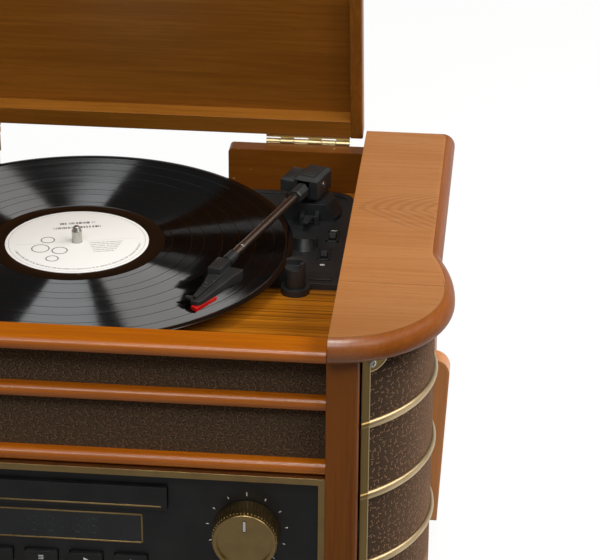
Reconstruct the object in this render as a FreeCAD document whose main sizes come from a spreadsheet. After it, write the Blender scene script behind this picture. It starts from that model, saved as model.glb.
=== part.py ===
import FreeCAD, Part
import math
import os
from types import SimpleNamespace

import Sketcher
from FreeCAD import Placement, Rotation, Vector

# Retro music centre: wooden cabinet with rounded shoulders, record deck under a hinged lid,
# slatted cloth front, control panel with a disc drawer, and a round speaker on each side.
# X runs to the right, Y to the back and Z up from the floor. Lengths are millimetres, angles degrees.
# The record sets the plan, and the front's rails and windows set the height.
DIMENSIONS = {
    # The record's room, and the height of the front from the floor up
    "record_radius": 150.8, "well_room": 22.7, "record_gap": 6.2, "front_room": 7.9,
    "record_overhang": 0.8, "spindle_back": 15.4, "feet_height": 10.0, "base_thick": 12.0,
    "bottom_rail_height": 18.0, "panel_height": 88.0, "lower_slat_thick": 8.9, "lower_window": 38.1,
    "upper_slat_thick": 9.0, "upper_window": 28.1, "rail_thick": 8.9, "shoulder_rise": 15.0,
    "deck_drop": 32.0,
    # Shoulders
    "shoulder_width": 77.5, "shoulder_thick": 19.0, "shoulder_lap": 1.4, "nose_swell": 11.1,
    "nose_lead": 12.5, "nose_radius": 78.1, "flank_radius": 150.0, "neck_radius": 20.0,
    "back_corner": 8.0, "bullnose": 9.3, "edging_width": 6.5,
    # Carcass
    "foot_radius": 14.0, "foot_round": 2.0, "foot_inset": 23.5, "foot_set": 45.6, "base_inset": 12.0,
    "wall_thick": 12.0, "back_thick": 6.0, "side_overhang": 8.9, "side_thick": 9.0,
    "vent_length": 60.0, "vent_height": 4.0, "vent_pitch": 10.0, "vent_drop": 100.0,
    "inlet_inset": 48.5, "inlet_rise": 30.0, "inlet_half": 12.0, "inlet_tall": 8.0, "inlet_rim": 3.0,
    "inlet_lip": 1.5, "inlet_depth": 8.0, "socket_half": 8.0, "socket_tall": 4.5, "socket_depth": 10.5,
    # Front
    "post_width": 21.1, "post_depth": 22.0, "post_round": 4.0, "rail_depth": 22.3, "rail_round": 4.0,
    "slat_set": 1.0, "slat_depth": 8.3, "cloth_set": 14.0, "cloth_board": 6.0, "bottom_rail_depth": 17.0,
    "bezel_width": 4.6, "bezel_depth": 6.0, "fascia_set": 8.6, "fascia_thick": 4.0,
    # Round side speakers
    "drum_radius": 96.0, "drum_inset": 13.0, "drum_set": 1.5, "cloth_thick": 1.5,
    "ring_drop": 49.0, "ring_pitch": 52.5, "ring_half": 2.7, "strip_gap": 1.5, "strip_width": 4.6,
    "strip_proud": 1.6, "ear_radius": 11.0, "ear_screw": 1.4, "screw_radius": 2.6,
    "screw_height": 0.9, "screw_inset": 9.0, "fin_set": 48.6, "fin_thick": 14.0, "fin_drop": 67.0,
    "fin_inset": 3.4, "fin_lean": 6.2, "fin_corner": 12.0, "driver_drop": 92.0,
    "driver_radius": 47.0, "driver_rim": 4.0, "basket_radius": 40.0, "basket_neck": 24.0,
    "basket_depth": 24.0, "magnet_radius": 32.0, "magnet_depth": 16.0, "surround_width": 6.0,
    "cap_radius": 13.0, "paper_thick": 4.0,
    # Deck, platter and drive
    "deck_thick": 9.0, "record_rise": 15.0, "record_thick": 1.6, "mat_thick": 2.4, "mat_inset": 4.0,
    "platter_radius": 108.0, "platter_thick": 5.0, "platter_round": 1.5, "hub_radius": 12.0,
    "drive_ring": 62.0, "drive_wall": 2.5, "spindle_radius": 3.55, "spindle_rise": 11.7,
    "spindle_drop": 24.0, "bush_radius": 9.0, "bush_flange": 14.0, "bush_lip": 1.0, "bush_floor": 2.0,
    "motor_radius": 16.0, "motor_height": 22.0, "motor_reach": 85.0, "motor_turn": 135.0,
    "pulley_radius": 5.0, "motor_shaft": 1.0, "belt_thick": 1.0, "belt_height": 3.0,
    # Tonearm base plate and what stands on it
    "plate_inset": 5.0, "plate_width": 92.5, "plate_reach": 28.0, "plate_corner": 14.0,
    "plate_back": 10.0, "plate_clear": 8.0, "plate_thick": 3.0, "plate_rim": 1.5, "rim_width": 5.0,
    "boss_radius": 9.2, "boss_crown": 4.6, "boss_set": 54.0, "boss_bar": 5.0, "boss_height": 7.5,
    "pivot_inset": 35.5, "pivot_set": 60.0, "pedestal_radius": 17.6, "pedestal_height": 13.0,
    "pedestal_flange": 23.2, "flange_height": 2.5, "facet": 13.4, "ear_thick": 3.0, "ear_half": 2.5,
    "rest_inset": 34.0, "rest_set": 4.5, "rest_radius": 7.0, "rest_rise": 23.4, "seat_drop": 4.5,
    "rest_prong": 3.6, "rest_wall": 2.4, "rest_flange": 10.0, "rest_hole": 3.0, "lever_set": 19.9,
    "lever_rise": 5.0, "lever_width": 7.0, "lever_tip": 3.8, "lever_length": 14.0, "lever_thick": 3.0,
    "lever_pin": 1.2, "lever_barrel": 2.0, "switch_width": 4.4, "switch_length": 6.0,
    "switch_height": 6.5, "switch_travel": 3.0, "speed_inset": 15.3, "speed_set": 39.0,
    "stop_inset": 18.8, "stop_set": 69.3,
    # Tonearm
    "arm_turn": 17.84, "arm_rise": 27.0, "arm_shaft": 3.0, "shaft_floor": 2.0, "swivel_radius": 9.0,
    "swivel_height": 4.2, "yoke_left": 7.0, "yoke_right": 10.8, "yoke_wall": 2.2, "yoke_front": 12.4,
    "yoke_back": 14.0, "yoke_rise": 9.0, "yoke_bevel": 2.5, "yoke_floor": 2.0, "yoke_roof": 3.0,
    "weight_width": 11.5, "weight_front": 10.5, "weight_back": 11.5, "weight_rise": 5.5,
    "weight_bevel": 2.0, "tube_radius": 3.0, "collar_radius": 3.9, "collar_length": 28.0,
    "tube_length": 131.0, "sleeve_radius": 3.2, "sleeve_length": 11.0, "trunnion_radius": 4.0,
    "trunnion_pin": 1.2, "socket_radius": 4.0, "socket_length": 12.0, "neck_length": 18.0,
    "neck_left": 6.0, "neck_right": 3.6, "neck_drop": 7.0, "neck_rise": 3.0, "neck_bevel": 1.0,
    "wing_reach": 13.4, "wing_depth": 6.0, "wing_fall": 1.5, "shell_length": 56.0, "shell_waist": 9.5,
    "waist_set": 36.5, "tip_left": 6.2, "tip_right": 1.0, "tip_fall": 5.6, "shell_floor": 3.0,
    "lift_reach": 15.0, "lift_depth": 8.4, "lift_thick": 1.8, "lift_rise": 1.0, "guard_back": 43.5,
    "guard_length": 22.0, "guard_width": 5.0, "guard_left": 3.4, "guard_skew": 4.8, "guard_slant": 2.5,
    "guard_gap": 0.4,
    # Lid and hinges
    "lid_open": 75.0, "lid_side_gap": 1.7, "lid_thick": 14.7, "lid_gap": 0.6, "lid_set": 5.5,
    "stile_width": 9.0, "lid_rail_width": 15.0, "lid_recess": 12.0, "lid_round": 1.5,
    "block_length": 100.0, "block_short": 72.5, "block_thick": 13.0, "block_round": 3.0,
    "block_set": 2.8, "hinge_margin": 0.8, "hinge_length": 62.0, "knuckle_radius": 2.5, "hinge_pin": 1.0,
    "leaf_thick": 1.2, "leaf_depth": 16.0, "knuckle_gap": 0.15,
    # Controls and disc drawer
    "drawer_half": 70.0, "drawer_lip": 4.0, "drawer_shelf": 2.0, "tray_inset": 4.0,
    "tray_length": 146.0, "tray_margin": 14.0, "disc_radius": 60.5, "disc_depth": 6.0,
    "disc_hole": 18.0, "loader_floor": 4.7, "loader_wall": 5.7, "loader_length": 160.0,
    "loader_leg": 10.0, "loader_set": 6.0, "display_inset": 18.0, "knob_inset": 51.5,
    "knob_radius": 22.0, "knob_depth": 17.0, "knob_dish": 2.0, "knob_lip": 2.5,
    "knob_shaft": 3.0, "shaft_reach": 9.0, "pot_half": 12.0, "pot_depth": 11.0, "pointer_width": 2.4,
    "button_width": 22.0, "button_tall": 9.0, "button_pitch": 30.0, "button_round": 1.5,
    "button_proud": 3.5, "button_depth": 10.5,
    # Electronics
    "board_length": 120.0, "board_depth": 100.0, "board_thick": 1.6, "board_leg": 6.0,
    "board_side": 15.0, "board_set": 75.0, "leg_radius": 3.0, "leg_inset": 6.0, "can_radius": 8.0,
    "can_height": 24.0, "can_pitch": 25.0, "sink_length": 36.0, "sink_depth": 12.0,
    "sink_height": 30.0, "sink_slot": 2.4, "core_length": 60.0, "core_depth": 50.0,
    "core_height": 50.0, "core_inset": 53.5, "core_set": 65.4, "coil_length": 40.0,
    "coil_depth": 76.0, "coil_height": 30.0,
    # Clearances
    "slide_gap": 0.3, "running_gap": 0.05,
}

KNUCKLES = 6
BUTTONS = ("power_button", "source_button", "play_button", "open_button")
VENT_ROWS = 6
RINGS = 3
SINK_SLOTS = 5


class Size:
    """A length that knows its value and its formula in sheet cells."""

    def __init__(self, value, text):
        self.value = value
        self.text = text

    def __add__(self, other):
        other = size(other)
        return Size(self.value + other.value, f"({self.text} + {other.text})")

    def __sub__(self, other):
        other = size(other)
        return Size(self.value - other.value, f"({self.text} - {other.text})")

    def __mul__(self, other):
        other = size(other)
        return Size(self.value * other.value, f"({self.text} * {other.text})")

    def __truediv__(self, other):
        other = size(other)
        return Size(self.value / other.value, f"({self.text} / {other.text})")

    def __neg__(self):
        return Size(-self.value, f"(-{self.text})")

    def __radd__(self, other):
        return size(other) + self

    def __rsub__(self, other):
        return size(other) - self

    def __rmul__(self, other):
        return size(other) * self


def size(value):
    return value if isinstance(value, Size) else Size(float(value), f"({float(value)})")


def root(square):
    return Size(math.sqrt(square.value), f"sqrt({square.text})")


def arcsine(ratio):
    """Angle in degrees."""
    return Size(math.degrees(math.asin(ratio.value)), f"asin({ratio.text})")


# The document and its sheet of driving dimensions
doc = FreeCAD.newDocument("music_center")
sheet = doc.addObject("Spreadsheet::Sheet", "dims")
for row, (alias, value) in enumerate(DIMENSIONS.items(), start=1):
    sheet.set(f"A{row}", alias)
    sheet.set(f"B{row}", str(value))
    sheet.setAlias(f"B{row}", alias)
doc.recompute()
d = SimpleNamespace(**{alias: Size(value, f"dims.{alias}") for alias, value in DIMENSIONS.items()})
nodes = {}


def node(label, thing):
    """Name a finished sub-part."""
    thing.Label = label
    nodes[label] = thing


def bind(thing, **sizes):
    for name, value in sizes.items():
        thing.setExpression(name, size(value).text)


def seat(thing, x, y, z):
    for axis, value in zip("xyz", (x, y, z)):
        thing.setExpression(f"Placement.Base.{axis}", size(value).text)


def turned(thing, axis, angle, x, y, z):
    """Turn a finished piece about the origin and carry it to a place."""
    piece = group(thing)
    piece.Placement = Placement(Vector(), Rotation(axis, angle.value))
    piece.setExpression("Placement.Rotation.Angle", angle.text)
    seat(piece, x, y, z)
    return piece


# Blocks, bars and what is made of them
ALONG = {"x": Rotation(Vector(0, 1, 0), 90), "y": Rotation(Vector(1, 0, 0), -90), "z": Rotation()}


def box(x, y, z):
    """Block between a low and a high place along each axis."""
    block = doc.addObject("Part::Box", "block")
    bind(block, Length=size(x[1]) - x[0], Width=size(y[1]) - y[0], Height=size(z[1]) - z[0])
    seat(block, x[0], y[0], z[0])
    return block


def lie(thing, along, start, centre):
    """Lay a round piece along an axis; centre holds its other two coordinates in x, y, z order."""
    thing.Placement = Placement(Vector(), ALONG[along])
    place = list(centre)
    place.insert("xyz".index(along), start)
    seat(thing, *place)
    return thing


def rod(radius, along, span, centre):
    bar = doc.addObject("Part::Cylinder", "bar")
    bind(bar, Radius=radius, Height=size(span[1]) - span[0])
    return lie(bar, along, span[0], centre)


def frustum(low, high, z):
    """Block that changes from a low to a high rectangle, each given as its x and y ranges."""
    wedge = doc.addObject("Part::Wedge", "wedge")
    (x1, y1), (x2, y2) = low, high
    bind(wedge, Xmin=x1[0], Xmax=x1[1], X2min=x2[0], X2max=x2[1], Ymin=z[0], Ymax=z[1])
    bind(wedge, Zmin=-size(y1[1]), Zmax=-size(y1[0]), Z2min=-size(y2[1]), Z2max=-size(y2[0]))
    wedge.Placement = Placement(Vector(), Rotation(Vector(1, 0, 0), 90))
    return wedge


def fuse(*parts):
    if len(parts) == 1:
        return parts[0]
    joined = doc.addObject("Part::MultiFuse", "joined")
    joined.Shapes = list(parts)
    return joined


def cut(base, *tools):
    rest = doc.addObject("Part::Cut", "rest")
    rest.Base = base
    rest.Tool = fuse(*tools)
    return rest


def common(base, tool):
    shared = doc.addObject("Part::Common", "shared")
    shared.Base = base
    shared.Tool = tool
    return shared


def group(*parts):
    together = doc.addObject("Part::Compound", "together")
    together.Links = list(parts)
    return together


def mirrored(thing):
    """The same piece on the other side of the centre plane."""
    image = doc.addObject("Part::Mirroring", "image")
    image.Source = thing
    image.Normal = (1, 0, 0)
    return image


def pair(thing):
    return group(thing, mirrored(thing))


# Sketched pieces
def sketch_on(body, plane, offset):
    """Sketch parallel to one of the body's origin planes, a distance along that plane's normal."""
    sketch = body.newObject("Sketcher::SketchObject", "outline")
    support = [part for part in body.Origin.OriginFeatures if part.Role == f"{plane.upper()}_Plane"]
    sketch.AttachmentSupport = [(support[0], "")]
    sketch.MapMode = "FlatFace"
    sketch.setExpression("AttachmentOffset.Base.z", size(offset).text)
    return sketch


def fix(sketch, kind, *items):
    return sketch.addConstraint(Sketcher.Constraint(kind, *items))


def measure(sketch, kind, *items):
    """Add a constraint whose last item is a size, and bind it to the sheet."""
    value = size(items[-1])
    index = fix(sketch, kind, *items[:-1], value.value)
    sketch.setExpression(f"Constraints[{index}]", value.text)


def locate(sketch, piece, end, corner):
    measure(sketch, "DistanceX", piece, end, corner[0])
    measure(sketch, "DistanceY", piece, end, corner[1])


def arc(centre, radius, start, end):
    """Arc that runs counter-clockwise from a start point to an end point."""
    angles = [math.atan2(point.y - centre.y, point.x - centre.x) for point in (start, end)]
    if angles[1] < angles[0]:
        angles[1] += 2 * math.pi
    return Part.ArcOfCircle(Part.Circle(centre, Vector(0, 0, 1), radius), *angles)


def round_corner(sketch, before, after, corner, here, arrive, leave):
    """Tangent arc between two sides, with the sharp corner kept as a construction point."""
    radius = size(corner[2])
    inward = ((arrive - here) + (leave - here)).normalize()
    half = (arrive - here).getAngle(leave - here) / 2
    centre = here + inward * (radius.value / math.sin(half))
    left_turn = (here - arrive).cross(leave - here).z > 0
    start, end = (arrive, leave) if left_turn else (leave, arrive)
    bend = sketch.addGeometry(arc(centre, radius.value, start, end))
    first, last = (1, 2) if left_turn else (2, 1)
    fix(sketch, "Tangent", before, 2, bend, first)
    fix(sketch, "Tangent", bend, last, after, 1)
    measure(sketch, "Radius", bend, radius)
    tip = sketch.addGeometry(Part.Point(here), True)
    fix(sketch, "PointOnObject", tip, 1, before)
    fix(sketch, "PointOnObject", tip, 1, after)
    locate(sketch, tip, 1, corner)


def draw_polygon(sketch, corners):
    """Closed outline, counter-clockwise; a corner is a place, or a place and a rounding radius."""
    points = [Vector(size(corner[0]).value, size(corner[1]).value, 0) for corner in corners]
    ends = []
    for index, corner in enumerate(corners):
        here = points[index]
        to_last = (points[index - 1] - here).normalize()
        to_next = (points[(index + 1) % len(points)] - here).normalize()
        radius = size(corner[2]).value if len(corner) == 3 else 0
        reach = radius / math.tan(to_last.getAngle(to_next) / 2)
        ends.append((here + to_last * reach, here + to_next * reach))
    sides = []
    for index in range(len(corners)):
        finish = ends[(index + 1) % len(corners)][0]
        sides.append(sketch.addGeometry(Part.LineSegment(ends[index][1], finish)))
    for index, corner in enumerate(corners):
        before, after = sides[index - 1], sides[index]
        if len(corner) == 3:
            round_corner(sketch, before, after, corner, points[index], *ends[index])
        else:
            fix(sketch, "Coincident", before, 2, after, 1)
            locate(sketch, after, 1, corner)


def pad(body, sketch, length):
    solid = body.newObject("PartDesign::Pad", "pad")
    solid.Profile = sketch
    bind(solid, Length=length)
    return solid


def prism(plane, corners, span):
    """Body with a polygon outline, between two places along the plane's axis."""
    body = doc.addObject("PartDesign::Body", "prism")
    start = -size(span[1]) if plane == "xz" else span[0]
    sketch = sketch_on(body, plane, start)
    draw_polygon(sketch, corners)
    pad(body, sketch, size(span[1]) - span[0])
    return body


def lathe(profile, along, start, centre):
    """Body turned from a half profile of radius and height pairs, laid along an axis."""
    body = doc.addObject("PartDesign::Body", "turning")
    sketch = sketch_on(body, "xz", 0)
    draw_polygon(sketch, profile)
    spin = body.newObject("PartDesign::Revolution", "spin")
    spin.Profile = sketch
    spin.ReferenceAxis = (sketch, ["V_Axis"])
    spin.Angle = 360
    return lie(body, along, start, centre)


def bar_section(front, back, low, high, rounding):
    """Section of a bar across the front: square at the back, rounded along its front edges."""
    return [(-size(front), low, rounding), (-size(back), low), (-size(back), high),
            (-size(front), high, rounding)]


# Heights, from the floor up
base_top = d.feet_height + d.base_thick
bottom_rail_top = base_top + d.bottom_rail_height
panel_top = bottom_rail_top + d.panel_height
lower_slat_top = panel_top + d.lower_slat_thick
upper_slat_top = lower_slat_top + d.lower_window + d.upper_slat_thick
rail_bottom = upper_slat_top + d.upper_window
rail_top = rail_bottom + d.rail_thick
shoulder_top = rail_top + d.shoulder_rise
shoulder_bottom = shoulder_top - d.shoulder_thick
deck_top = rail_top - d.deck_drop
deck_bottom = deck_top - d.deck_thick
plate_top = deck_top + d.plate_thick
pedestal_top = plate_top + d.pedestal_height
record_top = deck_top + d.record_rise
arm_height = deck_top + d.arm_rise
yoke_bottom = pedestal_top + d.swivel_height
hinge_height = rail_top + d.lid_gap - 2 * d.running_gap

# Places across the set; a front is a distance ahead of the origin, a back one behind it
well_half = d.record_radius + d.well_room
wall_outer = well_half + d.wall_thick
post_outer = well_half + d.post_width
shoulder_inner = well_half + d.shoulder_lap
nose_reach = well_half + d.shoulder_width
shoulder_side = nose_reach - d.nose_swell
side_outer = shoulder_side - d.side_overhang
side_inner = side_outer - d.side_thick
fin_reach = nose_reach - d.fin_inset
lid_half = well_half - d.lid_side_gap
hinge_inner = lid_half - d.stile_width - d.hinge_margin - d.hinge_length
plate_right = well_half - d.plate_inset
rest_side = well_half - d.rest_inset

# Places along the set
rail_back = d.record_radius - d.spindle_back + d.front_room
post_front = rail_back + d.rail_depth
post_back = post_front - d.post_depth
nose_front = post_front + d.nose_lead
slat_front = post_front - d.slat_set
cloth_front = post_front - d.cloth_set
cloth_back = cloth_front - d.cloth_board
fascia_front = post_front - d.fascia_set
fascia_back = fascia_front - d.fascia_thick
drum_front = nose_front - d.drum_set - d.drum_radius
fin_front = drum_front - d.fin_set
fin_back = fin_front - d.fin_thick
cabinet_back = d.spindle_back + d.record_radius - d.record_overhang
back_inner = cabinet_back - d.back_thick
block_back = cabinet_back - d.block_set
block_front = block_back - d.block_thick
hinge_back = block_back + d.knuckle_radius + 4 * d.running_gap
plate_front = d.plate_reach - d.spindle_back
rest_front = plate_front + d.rest_set
pivot_back = cabinet_back - d.pivot_set
lever_back = pivot_back - d.lever_set
lever_height = plate_top + d.lever_rise
spindle = (d.record_gap - d.well_room, d.spindle_back)
pivot = (well_half - d.pivot_inset, pivot_back)
drum = (nose_reach - d.drum_inset - d.drum_radius, -drum_front)
across_well = (-well_half, well_half)


# Shoulders
def draw_shoulder(sketch, inset):
    """Plan of the right shoulder: round nose, gentle flank, hollow neck, straight side."""
    nose = d.nose_radius - inset
    flank = d.flank_radius - inset
    neck = d.neck_radius + inset
    side = shoulder_side - inset
    back = cabinet_back - inset
    corner = d.back_corner
    nose_x, nose_y = nose_reach - d.nose_radius, d.nose_radius - nose_front
    flank_x = nose_reach - d.flank_radius
    neck_x = (side + neck).value
    neck_y = nose_y.value + math.sqrt((flank + neck).value ** 2 - (neck_x - flank_x.value) ** 2)
    nose_centre = Vector(nose_x.value, nose_y.value, 0)
    flank_centre = Vector(flank_x.value, nose_y.value, 0)
    neck_centre = Vector(neck_x, neck_y, 0)
    lean = math.asin((shoulder_inner - nose_x).value / nose.value)
    start = nose_centre + Vector(math.sin(lean), -math.cos(lean), 0) * nose.value
    edge = nose_centre + Vector(nose.value, 0, 0)
    swap = flank_centre + (neck_centre - flank_centre).normalize() * flank.value
    leave = Vector(side.value, neck_y, 0)
    outer_corner = Vector(side.value, back.value, 0)
    bend_centre = outer_corner - Vector(corner.value, corner.value, 0)
    bend_start = outer_corner - Vector(0, corner.value, 0)
    bend_end = outer_corner - Vector(corner.value, 0, 0)
    inner_corner = Vector(shoulder_inner.value, back.value, 0)
    shapes = [arc(nose_centre, nose.value, start, edge), arc(flank_centre, flank.value, edge, swap),
              arc(neck_centre, neck.value, leave, swap), Part.LineSegment(leave, bend_start),
              arc(bend_centre, corner.value, bend_start, bend_end),
              Part.LineSegment(bend_end, inner_corner), Part.LineSegment(inner_corner, start)]
    nose_arc, flank_arc, neck_arc, side_line, corner_arc, back_line, inner_line = [
        sketch.addGeometry(shape) for shape in shapes]
    fix(sketch, "Tangent", nose_arc, 2, flank_arc, 1)
    fix(sketch, "Tangent", flank_arc, 2, neck_arc, 2)
    fix(sketch, "Tangent", neck_arc, 1, side_line, 1)
    fix(sketch, "Tangent", side_line, 2, corner_arc, 1)
    fix(sketch, "Tangent", corner_arc, 2, back_line, 1)
    fix(sketch, "Coincident", back_line, 2, inner_line, 1)
    fix(sketch, "Coincident", inner_line, 2, nose_arc, 1)
    fix(sketch, "Vertical", side_line)
    fix(sketch, "Horizontal", back_line)
    fix(sketch, "Vertical", inner_line)
    for bend, radius in ((nose_arc, nose), (flank_arc, flank), (neck_arc, neck), (corner_arc, corner)):
        measure(sketch, "Radius", bend, radius)
    measure(sketch, "DistanceX", side_line, 1, side)
    measure(sketch, "DistanceY", back_line, 1, back)
    measure(sketch, "DistanceX", inner_line, 1, shoulder_inner)
    locate(sketch, nose_arc, 3, (nose_x, nose_y))
    measure(sketch, "DistanceY", flank_arc, 3, nose_y)


def shoulder_slab(inset, z):
    body = doc.addObject("PartDesign::Body", "slab")
    sketch = sketch_on(body, "xy", z[0])
    draw_shoulder(sketch, inset)
    pad(body, sketch, size(z[1]) - z[0])
    return body


def round_rim(body, radius):
    """Bullnose every edge of a slab's two faces except along its straight inner side."""
    doc.recompute()
    base = body.Tip
    names = []
    for index, edge in enumerate(base.Shape.Edges, start=1):
        extent = edge.BoundBox
        if extent.ZLength < 1e-6 and extent.XMax > shoulder_inner.value + 1e-3:
            names.append(f"Edge{index}")
    rim = body.newObject("PartDesign::Fillet", "rim")
    rim.Base = (base, names)
    bind(rim, Radius=radius)
    body.Tip = rim


def shoulders():
    """Veneered board inside a bullnosed edging; the two meet along an inset of the plan."""
    thickness = (shoulder_bottom, shoulder_top)
    whole = shoulder_slab(size(0), thickness)
    round_rim(whole, d.bullnose)
    core = shoulder_slab(d.edging_width, thickness)
    board = common(whole, core)
    node("shoulder_right", board)
    node("shoulder_left", mirrored(board))
    node("shoulder_edgings", pair(cut(whole, core)))


# Carcass
def feet():
    profile = [(0, 0), (0.9 * d.foot_radius, 0, d.foot_round), (d.foot_radius, d.feet_height),
               (0, d.feet_height)]
    x, y = well_half - d.foot_inset, post_front - d.foot_set
    pads = [lathe(profile, "z", 0, (x, end * y)) for end in (-1, 1)]
    node("rubber_feet", pair(group(*pads)))


def base_panel():
    height = (d.feet_height, base_top)
    middle = box((-wall_outer, wall_outer), (-post_front, cabinet_back), height)
    rear = box((-side_outer, side_outer), (-fin_back, cabinet_back), height)
    lobe = shoulder_slab(d.base_inset, height)
    node("base_panel", fuse(middle, rear, lobe, mirrored(lobe)))


def walls():
    height = (base_top, shoulder_bottom)
    plank = box((well_half, wall_outer), (-post_back, back_inner), height)
    hole = rod(d.basket_radius + d.slide_gap, "x", (well_half, wall_outer), driver_centre())
    node("inner_walls", pair(cut(plank, hole)))
    node("side_panels", pair(box((side_inner, side_outer), (-fin_back, cabinet_back), height)))


def front_posts():
    plan = [(well_half, -post_front), (post_outer, -post_front, d.post_round),
            (post_outer, -post_back), (well_half, -post_back)]
    node("front_posts", pair(prism("xy", plan, (base_top, shoulder_bottom))))


def rear_fins():
    """Partition behind each speaker that swells into a rounded fin below the shoulder."""
    top = shoulder_bottom - d.fin_drop
    face = [(wall_outer, base_top), (fin_reach - d.fin_lean, base_top), (fin_reach, top, d.fin_corner),
            (side_outer, top), (side_outer, shoulder_bottom), (wall_outer, shoulder_bottom)]
    node("rear_fins", pair(prism("xz", face, (-fin_front, -fin_back))))


def back_panel():
    """Board round the deck's back edge, with two banks of vents and a hole for the mains inlet."""
    low, high = base_top, shoulder_bottom
    face = [(-side_inner, low), (side_inner, low), (side_inner, high), (well_half, high),
            (well_half, deck_bottom), (-well_half, deck_bottom), (-well_half, high), (-side_inner, high)]
    depth = (back_inner, cabinet_back)
    x = 0.4 * well_half
    slots = []
    for rank in range(VENT_ROWS):
        z = deck_bottom - d.vent_drop + rank * d.vent_pitch
        slots.append(box((x - d.vent_length / 2, x + d.vent_length / 2), depth, (z, z + d.vent_height)))
    bank = group(*slots)
    hole = inlet_block(d.inlet_half, d.inlet_tall, depth)
    node("back_panel", cut(prism("xz", face, depth), bank, mirrored(bank), hole))


def inlet_block(half, tall, depth):
    x, z = well_half - d.inlet_inset, base_top + d.inlet_rise
    return box((x - half, x + half), depth, (z - tall, z + tall))


def mains_inlet():
    face = cabinet_back + d.inlet_lip
    case = inlet_block(d.inlet_half, d.inlet_tall, (back_inner - d.inlet_depth, cabinet_back))
    flange = inlet_block(d.inlet_half + d.inlet_rim, d.inlet_tall + d.inlet_rim, (cabinet_back, face))
    socket = inlet_block(d.socket_half, d.socket_tall, (face - d.socket_depth, face))
    node("mains_inlet", cut(fuse(case, flange), socket))


def screws():
    """Back panel screws, and one set square to the drum in each front ear of the speaker frames."""
    heads = []
    for x in (side_inner - d.screw_inset, well_half - 3 * d.screw_inset):
        for z in (base_top + d.screw_inset, deck_bottom - d.screw_inset):
            heads.append(rod(d.screw_radius, "y", (cabinet_back, cabinet_back + d.screw_height), (x, z)))
    reach = d.drum_radius + d.strip_proud
    across = post_outer + d.strip_gap + d.strip_width + d.ear_screw - drum[0]
    for z in (base_top + d.ear_radius / 2, shoulder_bottom - d.ear_radius / 2):
        head = rod(d.screw_radius, "y", (-reach - d.screw_height, -reach), (0, z))
        heads.append(turned(head, Vector(0, 0, 1), arcsine(across / reach), *drum, 0))
    node("screws", pair(group(*heads)))


# Slatted front and control panel
def front_bars():
    rail = bar_section(post_front, rail_back, rail_bottom, rail_top, d.rail_round)
    node("front_rail", prism("yz", rail, across_well))
    for label, top, thick in (("slat_upper", upper_slat_top, d.upper_slat_thick),
                              ("slat_lower", lower_slat_top, d.lower_slat_thick)):
        section = bar_section(cloth_front + d.slat_depth, cloth_front, top - thick, top, 0.48 * thick)
        node(label, prism("yz", section, across_well))
    foot = bar_section(slat_front, slat_front - d.bottom_rail_depth, base_top, bottom_rail_top, d.post_round)
    node("bottom_rail", prism("yz", foot, across_well))
    node("front_cloth", box(across_well, (-cloth_front, -cloth_back), (panel_top, rail_bottom)))


def panel_level(share):
    """Height of a control, as a share of the panel's height."""
    return bottom_rail_top + share * d.panel_height


knob_places = {"volume_knob": d.knob_inset - well_half, "tuning_knob": well_half - d.knob_inset}
button_places = {label: (rank - (len(BUTTONS) - 1) / 2) * d.button_pitch
                 for rank, label in enumerate(BUTTONS)}
drawer_height = (panel_level(0.648), panel_level(0.84))
display_height = (panel_level(0.341), panel_level(0.568))
button_height = panel_level(0.18)
knob_height = panel_level(0.5)
control_front = -fascia_front - d.button_proud


def control_panel():
    height = (bottom_rail_top, panel_top)
    rim = d.bezel_width
    proud = (-fascia_front - d.bezel_depth, -fascia_front)
    opening = box((rim - well_half, well_half - rim), proud, (height[0] + rim, height[1] - rim))
    node("fascia_bezel", cut(box(across_well, proud, height), opening))
    depth = (-fascia_front, -fascia_back)
    gap = d.slide_gap
    glass = d.drawer_half - d.display_inset
    window = ((-glass, glass), depth, display_height)
    holes = [box(*window)]
    holes.append(box((-d.drawer_half - gap, d.drawer_half + gap), depth,
                     (drawer_height[0] - gap, drawer_height[1] + gap)))
    for x in knob_places.values():
        holes.append(rod(d.knob_shaft + d.running_gap, "y", depth, (x, knob_height)))
    half, tall = d.button_width / 2 + gap, d.button_tall / 2 + gap
    for x in button_places.values():
        holes.append(box((x - half, x + half), depth, (button_height - tall, button_height + tall)))
    node("fascia", cut(box(across_well, depth, height), *holes))
    node("display_window", box(*window))


def knobs():
    """Tapered knobs with a dished face and a pointer groove, on shafts that run in panel pots."""
    rim = 0.94 * d.knob_radius
    depth = d.knob_depth
    end = depth + 2 * d.slide_gap + d.fascia_thick + d.shaft_reach
    profile = [(0, d.knob_dish), (rim - d.knob_lip, d.knob_dish), (rim - d.knob_lip, 0),
               (rim, 0, d.knob_lip / 3), (d.knob_radius, depth), (d.knob_shaft, depth),
               (d.knob_shaft, end), (0, end)]
    front = -fascia_front - 2 * d.slide_gap - depth
    case = (-fascia_back, -fascia_back + d.pot_depth)
    pots = []
    for label, x in knob_places.items():
        centre = (x, knob_height)
        groove = box((x - d.pointer_width / 2, x + d.pointer_width / 2),
                     (front + d.knob_dish, front + 1.5 * d.knob_dish),
                     (knob_height + rim / 3, knob_height + rim - 2 * d.knob_lip))
        node(label, cut(lathe(profile, "y", front, centre), groove))
        pot = box((x - d.pot_half, x + d.pot_half), case,
                  (knob_height - d.pot_half, knob_height + d.pot_half))
        pots.append(cut(pot, rod(d.knob_shaft + d.running_gap, "y", case, centre)))
    node("control_pots", group(*pots))


def buttons():
    half, tall = d.button_width / 2, d.button_tall / 2
    for label, x in button_places.items():
        low, high = button_height - tall, button_height + tall
        face = [(x - half, low, d.button_round), (x + half, low, d.button_round),
                (x + half, high, d.button_round), (x - half, high, d.button_round)]
        node(label, prism("xz", face, (control_front, control_front + d.button_depth)))


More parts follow.
